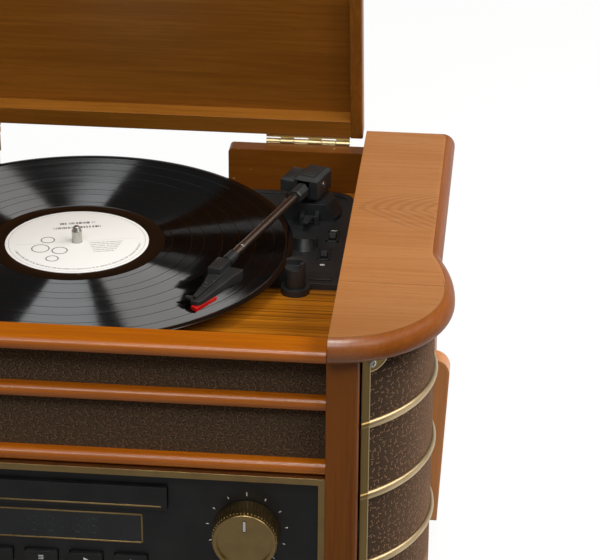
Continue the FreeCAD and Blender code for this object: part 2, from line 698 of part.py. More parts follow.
# Disc drawer and the loader it slides in
def disc_drawer():
    lip_back = control_front + d.drawer_lip
    low = drawer_height[0] + d.drawer_shelf
    high = drawer_height[1] - 2 * d.drawer_shelf
    half = d.drawer_half - d.tray_inset
    lip = box((-d.drawer_half, d.drawer_half), (control_front, lip_back), drawer_height)
    tray = box((-half, half), (lip_back, lip_back + d.tray_length), (low, high))
    centre = (0, lip_back + d.disc_radius + d.tray_margin)
    dish = rod(d.disc_radius, "z", (high - d.disc_depth, high), centre)
    window = rod(d.disc_hole, "z", (low, high), centre)
    node("cd_drawer", cut(fuse(lip, tray), dish, window))
    bed = low - d.slide_gap
    under = bed - d.loader_floor
    inner = half + d.slide_gap
    outer = inner + d.loader_wall
    start = -fascia_back + d.loader_set
    length = (start, start + d.loader_length)
    pieces = [box((-outer, outer), length, (under, bed))]
    for side in ((-outer, -inner), (inner, outer)):
        pieces.append(box(side, length, (bed, high)))
        pieces.append(box(side, (length[0], length[0] + d.loader_leg), (base_top, under)))
        pieces.append(box(side, (length[1] - d.loader_leg, length[1]), (base_top, under)))
    node("cd_loader", cut(fuse(*pieces), rod(d.disc_hole, "z", (under, bed), centre)))


# Electronics on the base panel
def main_board():
    y = cabinet_back - d.board_set
    half_x, half_y = d.board_length / 2, d.board_depth / 2
    low = base_top + d.board_leg
    top = low + d.board_thick
    pieces = [box((d.board_side - half_x, d.board_side + half_x), (y - half_y, y + half_y), (low, top))]
    for side in (-1, 1):
        for end in (-1, 1):
            corner = (d.board_side + side * (half_x - d.leg_inset), y + end * (half_y - d.leg_inset))
            pieces.append(rod(d.leg_radius, "z", (base_top, low), corner))
    for rank in range(2):
        can = (d.board_side - half_x / 2 + rank * d.can_pitch, y - half_y / 2)
        pieces.append(rod(d.can_radius, "z", (top, top + d.can_height), can))
    x = (d.board_side + half_x / 4, d.board_side + half_x / 4 + d.sink_length)
    sink = box(x, (y, y + d.sink_depth), (top, top + d.sink_height))
    step = d.sink_length / (SINK_SLOTS + 1)
    slots = []
    for rank in range(1, SINK_SLOTS + 1):
        middle = x[0] + rank * step
        slots.append(box((middle - d.sink_slot / 2, middle + d.sink_slot / 2),
                         (y + d.sink_depth / 3, y + d.sink_depth), (top, top + d.sink_height)))
    node("main_board", fuse(*pieces, cut(sink, *slots)))


def transformer():
    x, y = d.core_inset - well_half, cabinet_back - d.core_set
    core = box((x - d.core_length / 2, x + d.core_length / 2), (y - d.core_depth / 2, y + d.core_depth / 2),
               (base_top, base_top + d.core_height))
    middle = base_top + d.core_height / 2
    coil = box((x - d.coil_length / 2, x + d.coil_length / 2), (y - d.coil_depth / 2, y + d.coil_depth / 2),
               (middle - d.coil_height / 2, middle + d.coil_height / 2))
    node("transformer", fuse(core, coil))


# Round side speakers
def drum_region():
    """Everything outside the front post and ahead of the fin."""
    return box((post_outer + d.strip_gap, nose_reach), (-nose_front, -fin_front),
               (base_top, shoulder_bottom))


def speaker_covers():
    """Curved cloth in a frame of two end strips with corner ears, crossed by half-round rings."""
    height = (base_top, shoulder_bottom)
    drum_solid = rod(d.drum_radius, "z", height, drum)
    shell = cut(drum_solid, rod(d.drum_radius - d.cloth_thick, "z", height, drum))
    node("speaker_cloths", pair(common(shell, drum_region())))
    left = post_outer + d.strip_gap
    rear = -fin_front - d.strip_width
    bands = [box((left, left + d.strip_width), (-nose_front, drum[1]), height),
             box((drum[0], nose_reach), (rear, -fin_front), height)]
    for z in height:
        bands.append(rod(d.ear_radius, "y", (-nose_front, drum[1]), (left + d.strip_width, z)))
        bands.append(rod(d.ear_radius, "x", (drum[0], nose_reach), (rear, z)))
    strips = common(rod(d.drum_radius + d.strip_proud, "z", height, drum), fuse(*bands))
    rings = []
    for rank in range(RINGS):
        ring = doc.addObject("Part::Torus", "ring")
        bind(ring, Radius1=d.drum_radius, Radius2=d.ring_half)
        rings.append(lie(ring, "z", shoulder_bottom - d.ring_drop - rank * d.ring_pitch, drum))
    trimmed = common(fuse(strips, *rings), drum_region())
    node("speaker_frames", pair(cut(trimmed, drum_solid)))


def driver_centre():
    return -drum_front, shoulder_bottom - d.driver_drop


def drivers():
    """Speaker unit as one turned profile: magnet, basket, rim, surround roll, cone and dust cap."""
    neck = -d.basket_depth
    roll = d.basket_radius - d.surround_width / 2
    paper = neck + d.paper_thick
    end = neck - d.magnet_depth
    crown = paper + d.cap_radius / 2
    profile = [(0, end), (d.magnet_radius, end), (d.magnet_radius, neck), (d.basket_neck, neck),
               (d.basket_radius, 0), (d.driver_radius, 0), (d.driver_radius, d.driver_rim),
               (d.basket_radius, d.driver_rim),
               (roll, d.driver_rim + d.surround_width / 2, d.surround_width / 4),
               (d.basket_radius - d.surround_width, d.driver_rim / 2), (d.cap_radius, paper),
               (d.cap_radius / 2, crown, d.cap_radius / 2), (0, crown)]
    node("speaker_drivers", pair(lathe(profile, "x", wall_outer, driver_centre())))


# Deck, platter and drive
motor_turn = math.radians(d.motor_turn.value)
motor_place = (spindle[0] + d.motor_reach * Size(math.cos(motor_turn), f"cos({d.motor_turn.text})"),
               spindle[1] + d.motor_reach * Size(math.sin(motor_turn), f"sin({d.motor_turn.text})"))
mat_bottom = record_top - d.record_thick - d.mat_thick
disc_bottom = mat_bottom - d.platter_thick
hub_bottom = deck_top + d.bush_lip + 2 * d.slide_gap


def deck():
    thickness = (deck_bottom, deck_top)
    board = box(across_well, (-cloth_back, cabinet_back), thickness)
    bush_hole = rod(d.bush_radius, "z", thickness, spindle)
    shaft_hole = rod(d.pulley_radius + 2 * d.motor_shaft, "z", thickness, motor_place)
    node("deck", cut(board, bush_hole, shaft_hole))


def hinge_blocks():
    """Blocks that carry the lid; the left one stops short to leave room for the record's edge."""
    inner = well_half - d.block_length
    depth = (block_front, block_back)
    right = prism("xz", [(inner, deck_top), (well_half, deck_top), (well_half, rail_top),
                         (inner, rail_top, d.block_round)], depth)
    short = d.block_short - well_half
    left = prism("xz", [(-well_half, deck_top), (short, deck_top), (short, rail_top, d.block_round),
                        (-well_half, rail_top)], depth)
    node("hinge_blocks", group(right, left))


def platter():
    bore = d.spindle_radius + d.running_gap
    ring = d.drive_ring - d.drive_wall
    profile = [(bore, hub_bottom), (d.hub_radius, hub_bottom), (d.hub_radius, disc_bottom),
               (ring, disc_bottom), (ring, hub_bottom), (d.drive_ring, hub_bottom),
               (d.drive_ring, disc_bottom), (d.platter_radius, disc_bottom),
               (d.platter_radius, mat_bottom, d.platter_round), (bore, mat_bottom)]
    node("platter", lathe(profile, "z", 0, spindle))
    record_bottom = record_top - d.record_thick
    node("platter_mat", washer(d.platter_radius - d.mat_inset, bore, (mat_bottom, record_bottom)))
    node("record", washer(d.record_radius, bore, (record_bottom, record_top)))
    foot = deck_top - d.spindle_drop
    tip = record_top + d.spindle_rise
    node("spindle", lathe([(0, foot), (d.spindle_radius, foot), (d.spindle_radius, tip - d.spindle_radius),
                           (d.spindle_radius / 2, tip, d.spindle_radius / 4), (0, tip)], "z", 0, spindle))
    cup = foot - d.running_gap
    lip = deck_top + d.bush_lip
    bush = [(0, cup - d.bush_floor), (d.bush_radius, cup - d.bush_floor), (d.bush_radius, deck_top),
            (d.bush_flange, deck_top), (d.bush_flange, lip), (bore, lip), (bore, cup), (0, cup)]
    node("platter_bearing", lathe(bush, "z", 0, spindle))


def washer(radius, bore, span):
    """Flat disc on the spindle."""
    return cut(rod(radius, "z", span, spindle), rod(bore, "z", span, spindle))


def drive():
    foot = deck_bottom - d.motor_height / 2
    shaft = rod(d.motor_shaft, "z", (foot, hub_bottom), motor_place)
    wheel = rod(d.pulley_radius, "z", (hub_bottom, hub_bottom + d.belt_height), motor_place)
    node("motor_pulley", fuse(shaft, wheel))
    case = rod(d.motor_radius, "z", (deck_bottom - d.motor_height, deck_bottom), motor_place)
    node("motor", cut(case, rod(d.motor_shaft + d.running_gap, "z", (foot, deck_bottom), motor_place)))
    belt = cut(belt_loop(d.slide_gap + d.belt_thick), belt_loop(d.slide_gap))
    node("drive_belt", turned(belt, Vector(0, 0, 1), d.motor_turn, *spindle, hub_bottom))


def belt_loop(gap):
    """Flat loop round the drive ring and the pulley, with its straight runs tangent to both."""
    big, small = d.drive_ring + gap, d.pulley_radius + gap
    lean = (big - small) / d.motor_reach
    rise = root(1 - lean * lean)
    height = (0, d.belt_height)
    far = d.motor_reach + small * lean
    near = big * lean
    runs = [(near, -(big * rise)), (far, -(small * rise)), (far, small * rise), (near, big * rise)]
    return fuse(rod(big, "z", height, (0, 0)), rod(small, "z", height, (d.motor_reach, 0)),
                prism("xy", runs, height))


# Tonearm base plate and what stands on it
switch_places = {"speed_switch": (well_half - d.speed_inset, pivot_back - d.speed_set),
                 "stop_switch": (well_half - d.stop_inset, pivot_back - d.stop_set)}


def arm_base_plate():
    """Rimmed plate swept clear of the platter, slotted for the switches, with a half-round boss."""
    top = plate_top + d.plate_rim
    left = plate_right - d.plate_width
    back = block_front - d.plate_back
    plan = [(left, -plate_front), (plate_right, -plate_front), (plate_right, back, d.plate_corner),
            (left, back)]
    inner = plate_right - d.rim_width
    front = d.rim_width - plate_front
    rear = back - d.rim_width
    floor = prism("xy", [(0, front), (inner, front), (inner, rear, d.plate_corner - d.rim_width), (0, rear)],
                  (plate_top, top))
    sweep = rod(d.platter_radius + d.plate_clear, "z", (deck_top, top), spindle)
    socket = rod(d.rest_flange + d.running_gap, "z", (deck_top, top), (rest_side, -rest_front))
    slots = [switch_slot(*place) for place in switch_places.values()]
    plate = cut(prism("xy", plan, (deck_top, top)), floor, sweep, socket, *slots)
    y = pivot_back - d.boss_set
    height = (plate_top, plate_top + d.boss_height)
    bar = box((rest_side - d.boss_radius, rest_side + d.boss_radius), (y - d.boss_bar, y), height)
    cone = lathe([(0, height[0]), (d.boss_radius, height[0]), (d.boss_crown, height[1]), (0, height[1])],
                 "z", 0, (rest_side, y - d.boss_bar / 2))
    front_half = box((0, wall_outer), (0, y), height)
    node("arm_base_plate", fuse(plate, bar, common(cone, front_half)))


def switch_slot(x, y):
    half = d.switch_width / 2 + d.slide_gap
    reach = d.switch_length / 2 + d.switch_travel + d.slide_gap
    return box((x - half, x + half), (y - reach, y + reach), (deck_top, plate_top + d.plate_rim))


def switches():
    for label, (x, y) in switch_places.items():
        half, reach = d.switch_width / 2, d.switch_length / 2
        low = deck_top + d.slide_gap
        waist = low + d.switch_height / 2
        across = (x - half, x + half)
        stem = box(across, (y - reach, y + reach), (low, waist))
        cap = frustum((across, (y - reach, y + reach)), (across, (y - reach / 2, y + reach / 2)),
                      (waist, low + d.switch_height))
        node(label, fuse(stem, cap))


def arm_pedestal():
    """Coned turret with a flat front facet and two ears that hold the cue lever's pin."""
    skirt = plate_top + d.flange_height
    turret = lathe([(0, plate_top), (d.pedestal_flange, plate_top), (d.pedestal_flange, skirt),
                    (d.pedestal_radius, pedestal_top), (0, pedestal_top)], "z", 0, pivot)
    face = pivot_back - d.facet
    front = box((0, wall_outer), (0, face), (plate_top, pedestal_top))
    inner = d.lever_width / 2 + d.slide_gap
    outer = inner + d.ear_thick
    depth = (lever_back - d.ear_half, face)
    height = (plate_top, lever_height + d.ear_half)
    ears = [box((rest_side - outer, rest_side - inner), depth, height),
            box((rest_side + inner, rest_side + outer), depth, height)]
    across = (rest_side - outer, rest_side + outer)
    pin_hole = rod(d.lever_pin + d.running_gap, "x", across, (lever_back, lever_height))
    bore = rod(d.arm_shaft + d.running_gap, "z", (plate_top + d.shaft_floor, pedestal_top), pivot)
    node("arm_pedestal", cut(fuse(cut(turret, front), *ears), bore, pin_hole))


def cue_lever():
    """Finger tab that narrows to its tip, on a barrel and pin."""
    half = d.lever_width / 2
    span = (rest_side - half, rest_side + half)
    axis = (lever_back, lever_height)
    barrel = rod(d.lever_barrel, "x", span, axis)
    pin = rod(d.lever_pin, "x", (span[0] - d.ear_thick, span[1] + d.ear_thick), axis)
    tip = lever_back - d.lever_length
    side = prism("yz", [(tip, lever_height + d.lever_thick / 2), (lever_back, lever_height),
                        (lever_back, lever_height + d.lever_barrel),
                        (tip, lever_height + d.lever_thick)], span)
    plan = prism("xy", [(span[0], tip), (span[0] + d.lever_tip, tip), (span[1], lever_back),
                        (span[0], lever_back)], (plate_top, pedestal_top))
    node("cue_lever", fuse(barrel, pin, common(side, plan)))


def arm_rest():
    """Stepped post: the low front carries the arm, the high wall behind and beside it stops it."""
    centre = (rest_side, -rest_front)
    top = deck_top + d.rest_rise
    seat_top = top - d.seat_drop
    post = fuse(rod(d.rest_radius, "z", (deck_top, top), centre),
                rod(d.rest_flange, "z", (deck_top, plate_top + d.plate_rim), centre))
    low_side = box((0, rest_side + d.rest_prong), (-post_front, d.rest_wall - rest_front), (seat_top, top))
    half = d.rest_hole / 2
    hole = box((rest_side + d.rest_prong - half, rest_side + d.rest_prong + half),
               (-rest_front - half, half - rest_front), (seat_top, top))
    node("arm_rest", cut(post, low_side, hole))


# Tonearm, modelled pointing to the front with its pivot at the origin and then turned
def carried(thing):
    return turned(thing, Vector(0, 0, 1), -d.arm_turn, *pivot, 0)


def bevelled_block(x, y, z, edge):
    """Block with its four top edges bevelled."""
    roof = ((x[0] + edge, x[1] - edge), (y[0] + edge, y[1] - edge))
    return fuse(box(x, y, (z[0], z[1] - edge)), frustum((x, y), roof, (z[1] - edge, z[1])))


def arm_housing():
    """Yoke and side weight with bevelled tops, on a swivel and a shaft that turns in the pedestal."""
    low = pedestal_top + d.slide_gap
    top = arm_height + d.yoke_rise
    across = (-d.yoke_left, size(0) + d.yoke_right)
    yoke = bevelled_block(across, (-d.yoke_front, size(0) + d.yoke_back), (yoke_bottom, top), d.yoke_bevel)
    weight = bevelled_block((-d.yoke_left - d.weight_width, -d.yoke_left),
                            (-d.weight_front, size(0) + d.weight_back),
                            (yoke_bottom + d.weight_bevel, arm_height + d.weight_rise), d.weight_bevel)
    swivel = rod(d.swivel_radius, "z", (low, yoke_bottom), (0, 0))
    shaft = rod(d.arm_shaft, "z", (plate_top + d.shaft_floor + d.slide_gap, low), (0, 0))
    inside = d.yoke_left - d.yoke_wall
    room = box((-inside, inside), (-d.yoke_front, inside), (yoke_bottom + d.yoke_floor, top - d.yoke_roof))
    pins = rod(d.trunnion_pin + d.running_gap, "x", across, (0, arm_height))
    node("arm_housing", carried(cut(fuse(yoke, weight, swivel, shaft), room, pins)))


def arm_tube():
    """Tube on a trunnion that tips in the yoke."""
    inside = d.yoke_left - d.yoke_wall - 2 * d.slide_gap
    centre = (0, arm_height)
    trunnion = rod(d.trunnion_radius, "x", (-inside, inside), centre)
    pin = rod(d.trunnion_pin, "x", (d.slide_gap - d.yoke_left, d.yoke_left - d.slide_gap), centre)
    collar = rod(d.collar_radius, "y", (-d.collar_length, 0), centre)
    tube = rod(d.tube_radius, "y", (-d.tube_length, -d.collar_length), centre)
    sleeve = rod(d.sleeve_radius, "y", (-d.tube_length, d.sleeve_length - d.tube_length), centre)
    node("arm_tube", carried(fuse(trunnion, pin, collar, tube, sleeve)))


shell_floor = record_top + d.shell_floor


def headshell():
    """Socket and bevelled neck, then a winged shell that narrows and drops, with a finger lift."""
    neck_back = -d.tube_length - d.socket_length
    neck_end = neck_back - d.neck_length
    socket = rod(d.socket_radius, "y", (neck_back, -d.tube_length), (0, arm_height))
    neck = bevelled_block((-d.neck_left, size(0) + d.neck_right), (neck_end, neck_back),
                          (arm_height - d.neck_drop, arm_height + d.neck_rise), d.neck_bevel)
    shoulder = neck_back - d.wing_depth / 2
    tip = -d.tube_length - d.shell_length
    waist = -d.tube_length - d.waist_set
    plan = prism("xy", [(-d.neck_left, shoulder), (-d.tip_left, tip), (-d.tip_right, tip),
                        (size(0) + d.shell_waist, waist),
                        (size(0) + d.wing_reach - d.wing_fall, shoulder - d.wing_depth),
                        (size(0) + d.wing_reach, shoulder)], (shell_floor, arm_height))
    top = arm_height - d.wing_fall
    fall = prism("yz", [(tip, shell_floor), (shoulder, shell_floor), (shoulder, top),
                        (tip, arm_height - d.tip_fall)], (-d.lift_reach, size(0) + d.wing_reach))
    low = shell_floor + d.lift_rise
    lift = prism("xy", [(-d.tip_right, tip), (-d.tip_right, tip + 1.5 * d.lift_depth),
                        (-d.lift_reach, tip + d.lift_depth, d.lift_thick),
                        (-d.lift_reach, tip, d.lift_thick)], (low, low + d.lift_thick))
    node("headshell", carried(fuse(socket, neck, common(plan, fall), lift)))


def stylus_guard():
    """Slanted red block under the shell's tip, kept just clear of the record."""
    back = -d.tube_length - d.guard_back
    front = back - d.guard_length
    left = size(0) + d.guard_left
    guard = prism("xy", [(left, back), (left - d.guard_skew, front),
                         (left + d.guard_width - d.guard_skew, front - d.guard_slant),
                         (left + d.guard_width, back - d.guard_slant)],
                  (record_top + d.guard_gap, shell_floor))
    node("stylus_guard", carried(guard))


# Lid, modelled closed with the hinge line at the origin and then swung open
def swung(thing):
    return turned(thing, Vector(1, 0, 0), -d.lid_open, 0, hinge_back, hinge_height)


def lid():
    low = rail_top + d.lid_gap - hinge_height
    high = low + d.lid_thick
    front, back = -hinge_back - post_front, -d.lid_set
    inner = lid_half - d.stile_width
    width = d.lid_rail_width
    stile = prism("xz", [(inner, low), (lid_half, low, d.lid_round), (lid_half, high, d.lid_round),
                         (inner, high)], (front, back))
    node("lid_stiles", swung(pair(stile)))
    across = (-inner, inner)
    front_rail = prism("yz", [(front, low, d.lid_round), (front + width, low), (front + width, high),
                              (front, high, d.lid_round)], across)
    back_rail = prism("yz", [(back - width, low), (back, low, d.lid_round), (back, high, d.lid_round),
                             (back - width, high)], across)
    slot = box(hinge_span, (back - d.leaf_depth / 2, back), leaf_levels)
    node("lid_rails", swung(group(front_rail, cut(back_rail, slot, mirrored(slot)))))
    node("lid_panel", swung(box(across, (front + width, back - width), (low + d.lid_recess, high))))


hinge_span = (hinge_inner, hinge_inner + d.hinge_length)
leaf_levels = (d.knuckle_radius - d.leaf_thick, size(0) + d.knuckle_radius)


def knuckle_span(rank):
    step = d.hinge_length / KNUCKLES
    low = hinge_inner + rank * step
    return low + d.knuckle_gap, low + step - d.knuckle_gap


def hinges():
    """Butt hinges: fixed leaf on the block, moving leaf let into the lid's edge, pin through both."""
    clear = d.knuckle_radius + 2 * d.slide_gap
    bore = rod(d.hinge_pin + d.running_gap, "x", hinge_span, (0, 0))
    face = (block_back - hinge_back, block_back - hinge_back + d.leaf_thick)
    fixed = [box(hinge_span, face, (-d.leaf_depth, -clear))]
    moving = [box(hinge_span, (-d.lid_set - d.leaf_depth / 2, -clear), leaf_levels)]
    for rank in range(KNUCKLES):
        span = knuckle_span(rank)
        knuckle = rod(d.knuckle_radius, "x", span, (0, 0))
        if rank % 2:
            moving += [knuckle, box(span, (-clear, 0), leaf_levels)]
        else:
            fixed += [knuckle, box(span, face, (-clear, 0))]
    leaves = group(pair(cut(fuse(*fixed), bore)))
    pins = group(pair(rod(d.hinge_pin, "x", hinge_span, (0, 0))))
    for thing in (leaves, pins):
        seat(thing, 0, hinge_back, hinge_height)
    node("hinge_leaves", leaves)
    node("hinge_pins", pins)
    node("lid_hinge_leaves", swung(pair(cut(fuse(*moving), bore))))


def check_model():
    """Stop before writing anything if a feature failed or a sub-part has no good shape."""
    for thing in doc.Objects:
        if {"Invalid", "Error"} & set(thing.State):
            raise RuntimeError(f"{thing.Name} ({thing.Label}) failed: {thing.State}")
    for label, thing in nodes.items():
        if thing.Shape.isNull() or not thing.Shape.isValid() or not thing.Shape.Solids:
            raise RuntimeError(f"{label} has no valid solid")


for make in (shoulders, feet, base_panel, walls, front_posts, rear_fins, back_panel, mains_inlet, screws,
             front_bars, control_panel, knobs, buttons, disc_drawer, main_board, transformer, speaker_covers,
             drivers, deck, hinge_blocks, platter, drive, arm_base_plate, switches, arm_pedestal, cue_lever,
             arm_rest, arm_housing, arm_tube, headshell, stylus_guard, lid, hinges):
    make()
doc.recompute()
check_model()
os.makedirs("parts", exist_ok=True)
for label, thing in nodes.items():
    thing.Shape.exportStep(f"parts/{label}.step")
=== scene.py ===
import math

import bmesh
import bpy
from mathutils import Matrix, Vector


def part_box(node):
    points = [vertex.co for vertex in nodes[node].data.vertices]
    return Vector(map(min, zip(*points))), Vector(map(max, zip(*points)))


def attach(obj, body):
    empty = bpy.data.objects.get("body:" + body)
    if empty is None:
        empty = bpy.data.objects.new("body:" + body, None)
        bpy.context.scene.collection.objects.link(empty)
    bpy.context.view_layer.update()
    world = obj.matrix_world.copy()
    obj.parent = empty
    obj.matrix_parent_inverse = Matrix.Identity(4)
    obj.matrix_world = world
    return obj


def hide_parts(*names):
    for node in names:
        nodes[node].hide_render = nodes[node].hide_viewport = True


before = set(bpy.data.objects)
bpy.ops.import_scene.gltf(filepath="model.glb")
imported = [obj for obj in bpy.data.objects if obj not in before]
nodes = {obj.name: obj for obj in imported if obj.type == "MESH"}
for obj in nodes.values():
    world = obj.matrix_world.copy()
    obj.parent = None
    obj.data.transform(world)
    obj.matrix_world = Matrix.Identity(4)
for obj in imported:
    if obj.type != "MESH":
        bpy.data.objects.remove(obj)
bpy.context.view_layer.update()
scene = bpy.context.scene
MM = 0.001

# Places and sizes in millimetres, turns in degrees
SPINDLE = (-16.5, 15.4)
RECORD_TOP, RECORD_BOTTOM, RECORD_RADIUS = 204.0, 202.4, 150.8
RECORD_HOLE, LABEL_RADIUS, LABEL_SINK = 3.7, 50.0, 0.3
GROOVES_START, GROOVES_END = 61.2, 146.2
DRUM = (142.0, -80.6)
DRUM_RADIUS = 96.0
BASE_TOP, SHOULDER_BOTTOM = 22.0, 217.0
FRAME_RADIUS, STRIP_EDGE, REAR_STRIP, EAR_RADIUS = 97.6, 200.7, -36.6, 11.0
RINGS = (168.0, 115.5, 63.0)
DRUM_CLOTH_FRONT, DRUM_CLOTH_BACK = 196.1, -32.0
FRONT_CLOTH_TURN_IN = 5.0
NOSE = (172.9, -100.0)
NOSE_SEAM = 71.2
PIVOT = (138.0, 105.4)
ARM_TURN = -17.84
ARM_HEIGHT = 216.0
PLATE_TOP = 192.0
SWITCHES = ((158.2, 66.4), (154.7, 36.1))
# middle and half sizes of the black patch painted on the deck under the arm's plate
DARK_PATCH_MIDDLE, DARK_PATCH_HALF = (156.5, 51.3), (9.0, 27.0)
HINGE = (165.3, 221.5)
LID_OPEN = -75.0
LID_UNDERSIDE = 221.6
BACK_FACE, SOCKET_HEIGHT = 165.4, 52.0
FASCIA_FACE = -157.0
CONTROL_FACE = -160.5
KNOB_BACK, KNOB_DEPTH, KNOB_DISH = -157.6, 17.0, 2.0
KNOB_HEIGHT, BUTTON_HEIGHT, DISPLAY_HEIGHT = 84.0, 55.8, 80.0
KNOB_RIBS, KNOB_TICKS, KNOB_SWEEP = 56, 11, 140.0
KNOBS = {"volume": -122.0, "tuning": 122.0}
BUTTONS = {"power": -45.0, "source": -15.0, "play": 15.0, "open": 45.0}


# Finishes
def srgb(red, green, blue):
    """A colour given as screen values of 0 to 255, in the renderer's linear values."""
    parts = (value / 255 for value in (red, green, blue))
    return (*(part / 12.92 if part < 0.04 else ((part + 0.055) / 1.055) ** 2.4 for part in parts), 1.0)


def deepen(tone, share):
    return (*(share * part for part in tone[:3]), 1.0)


class Field:
    """A socket of a finish under way; sums, products and powers of fields add Math nodes."""

    def __init__(self, finish, socket):
        self.finish, self.socket = finish, socket

    def maths(self, operation, *others):
        values = dict(enumerate((self, *others)))
        return self.finish.node("ShaderNodeMath", {"operation": operation}, values)

    def __add__(self, other):
        return self.maths("ADD", other)

    def __sub__(self, other):
        return self.maths("SUBTRACT", other)

    def __mul__(self, other):
        return self.maths("MULTIPLY", other)

    def __truediv__(self, other):
        return self.maths("DIVIDE", other)

    def __pow__(self, other):
        return self.maths("POWER", other)

    def __abs__(self):
        return self.maths("ABSOLUTE")

    def __rsub__(self, other):
        return self * -1.0 + other

    __radd__, __rmul__ = __add__, __mul__

    def sine(self):
        return self.maths("SINE")


class Finish:
    """Nodes of one material or of the sky."""

    def __init__(self, tree):
        self.tree = tree
        tree.nodes.clear()

    def node(self, kind, settings=None, sockets=None, out=0):
        """Add a node: its settings first, then the values or links of its sockets."""
        made = self.tree.nodes.new(kind)
        for key, value in (settings or {}).items():
            setattr(made, key, value)
        for key, value in (sockets or {}).items():
            if isinstance(value, Field):
                self.tree.links.new(value.socket, made.inputs[key])
            else:
                made.inputs[key].default_value = value
        return Field(self, made.outputs[out]) if made.outputs else made

    def places(self):
        """Object coordinates in millimetres."""
        where = self.node("ShaderNodeTexCoord", out="Object")
        scaled = self.node("ShaderNodeVectorMath", {"operation": "SCALE"}, {0: where, "Scale": 1 / MM})
        return [self.node("ShaderNodeSeparateXYZ", None, {0: scaled}, axis) for axis in range(3)]

    def point(self, x, y, z):
        return self.node("ShaderNodeCombineXYZ", None, {0: x, 1: y, 2: z})

    def noise(self, place, detail=2.0, roughness=0.5):
        sockets = {"Vector": place, "Scale": 1.0, "Detail": detail, "Roughness": roughness}
        return self.node("ShaderNodeTexNoise", None, sockets)

    def rise(self, value, low, high):
        """0 below low and 1 above high, or the other way round, with soft ends."""
        sockets = {"Value": value, "From Min": low, "From Max": high}
        return self.node("ShaderNodeMapRange", {"interpolation_type": "SMOOTHSTEP"}, sockets)

    def mix(self, share, first, second):
        """Colour that goes from the first to the second."""
        return self.node("ShaderNodeMix", {"data_type": "RGBA"}, {0: share, 6: first, 7: second}, 2)

    def edge(self, radius):
        """Normal with the sharp edges eased."""
        return self.node("ShaderNodeBevel", {"samples": 6}, {"Radius": radius * MM})

    def bump(self, height, depth, normal=None):
        sockets = {"Height": height, "Distance": depth * MM, "Strength": 1.0}
        if normal:
            sockets["Normal"] = normal
        return self.node("ShaderNodeBump", None, sockets)

    def close(self, **sockets):
        """Principled surface; a socket is named by its words joined with underscores."""
        named = {key.replace("_", " "): value for key, value in sockets.items()}
        shader = self.node("ShaderNodeBsdfPrincipled", None, named)
        self.node("ShaderNodeOutputMaterial", None, {0: shader})


def new_finish(name):
    made = bpy.data.materials.new(name)
    made.use_nodes = True
    return made, Finish(made.node_tree)


GRAIN_ORDER = {"x": (0, 1, 2), "y": (1, 0, 2), "z": (2, 0, 1)}


def wood(name, light, dark, along="x", pore=0.3, stripe=0.0, stripe_tone=None, figure=None, gloss=0.34,
         shine=0.4, ease=0.7, wear=0.0, polish=None):
    """Stained and lacquered wood with grain along one axis.

    stripe adds dark growth lines, figure a pattern or painted patch of its own, wear small pale knocks and
    polish a rubbed-up part.
    """
    made, f = new_finish(name)
    xyz = f.places()
    length, across, depth = (xyz[axis] for axis in GRAIN_ORDER[along])
    wander = f.noise(f.point(length * 0.006, across * 0.04, depth * 0.04)) - 0.5
    drift = across + wander * 9.0
    streak = f.noise(f.point(length * 0.011, drift * 0.42, depth * 0.42), 4.0, 0.62)
    broad = f.noise(f.point(length * 0.004, across * 0.03, depth * 0.03), 1.0)
    pores = f.noise(f.point(length * 0.085, across * 3.0, depth * 3.0), 1.0)
    share = f.rise(streak + (broad - 0.5) * 0.7, 0.28, 0.72)
    tone = f.mix(share, dark, light)
    deep = deepen(dark, 0.45)
    if stripe:
        bands = f.noise(f.point(length * 0.004, drift * 0.13, depth * 0.13), 2.0)
        lines = f.noise(f.point(length * 0.003, drift * 0.62, depth * 0.62), 2.0, 0.6)
        tone = f.mix(f.rise(bands, 0.42, 0.66) * stripe * 0.6, tone, stripe_tone)
        tone = f.mix(f.rise(lines, 0.5, 0.6) * stripe, tone, stripe_tone)
    if figure:
        tone = figure(f, xyz, wander, tone, deep)
    dots = f.rise(pores, 0.56, 0.72)
    tone = f.mix(dots * pore, tone, deep)
    if wear:
        knocks = f.noise(f.point(xyz[0] * 0.24, xyz[1] * 0.24, xyz[2] * 0.5), 0.0)
        tone = f.mix(f.rise(knocks, 0.82, 0.86) * wear, tone, srgb(214, 186, 150))
    normal = f.bump(1.0 - dots * 0.6 + streak * 0.3, 0.03, f.edge(ease))
    f.close(Base_Color=tone, Roughness=gloss + dots * 0.12 + (1.0 - share) * 0.06, Normal=normal,
            Specular_IOR_Level=shine, Coat_Weight=polish(f, xyz) if polish else 0.0, Coat_Roughness=0.3,
            Coat_IOR=1.7)
    return made


def nose_polish(f, xyz):
    """Front of the nose, where hands rub the edging."""
    x, y, _ = xyz
    return f.rise(abs(x), 214.0, 184.0) * f.rise(y, -120.0, -165.0)


ARCH_MIDDLE, ARCH_PITCH, DARK_LINE = 21.0, 8.8, -92.0


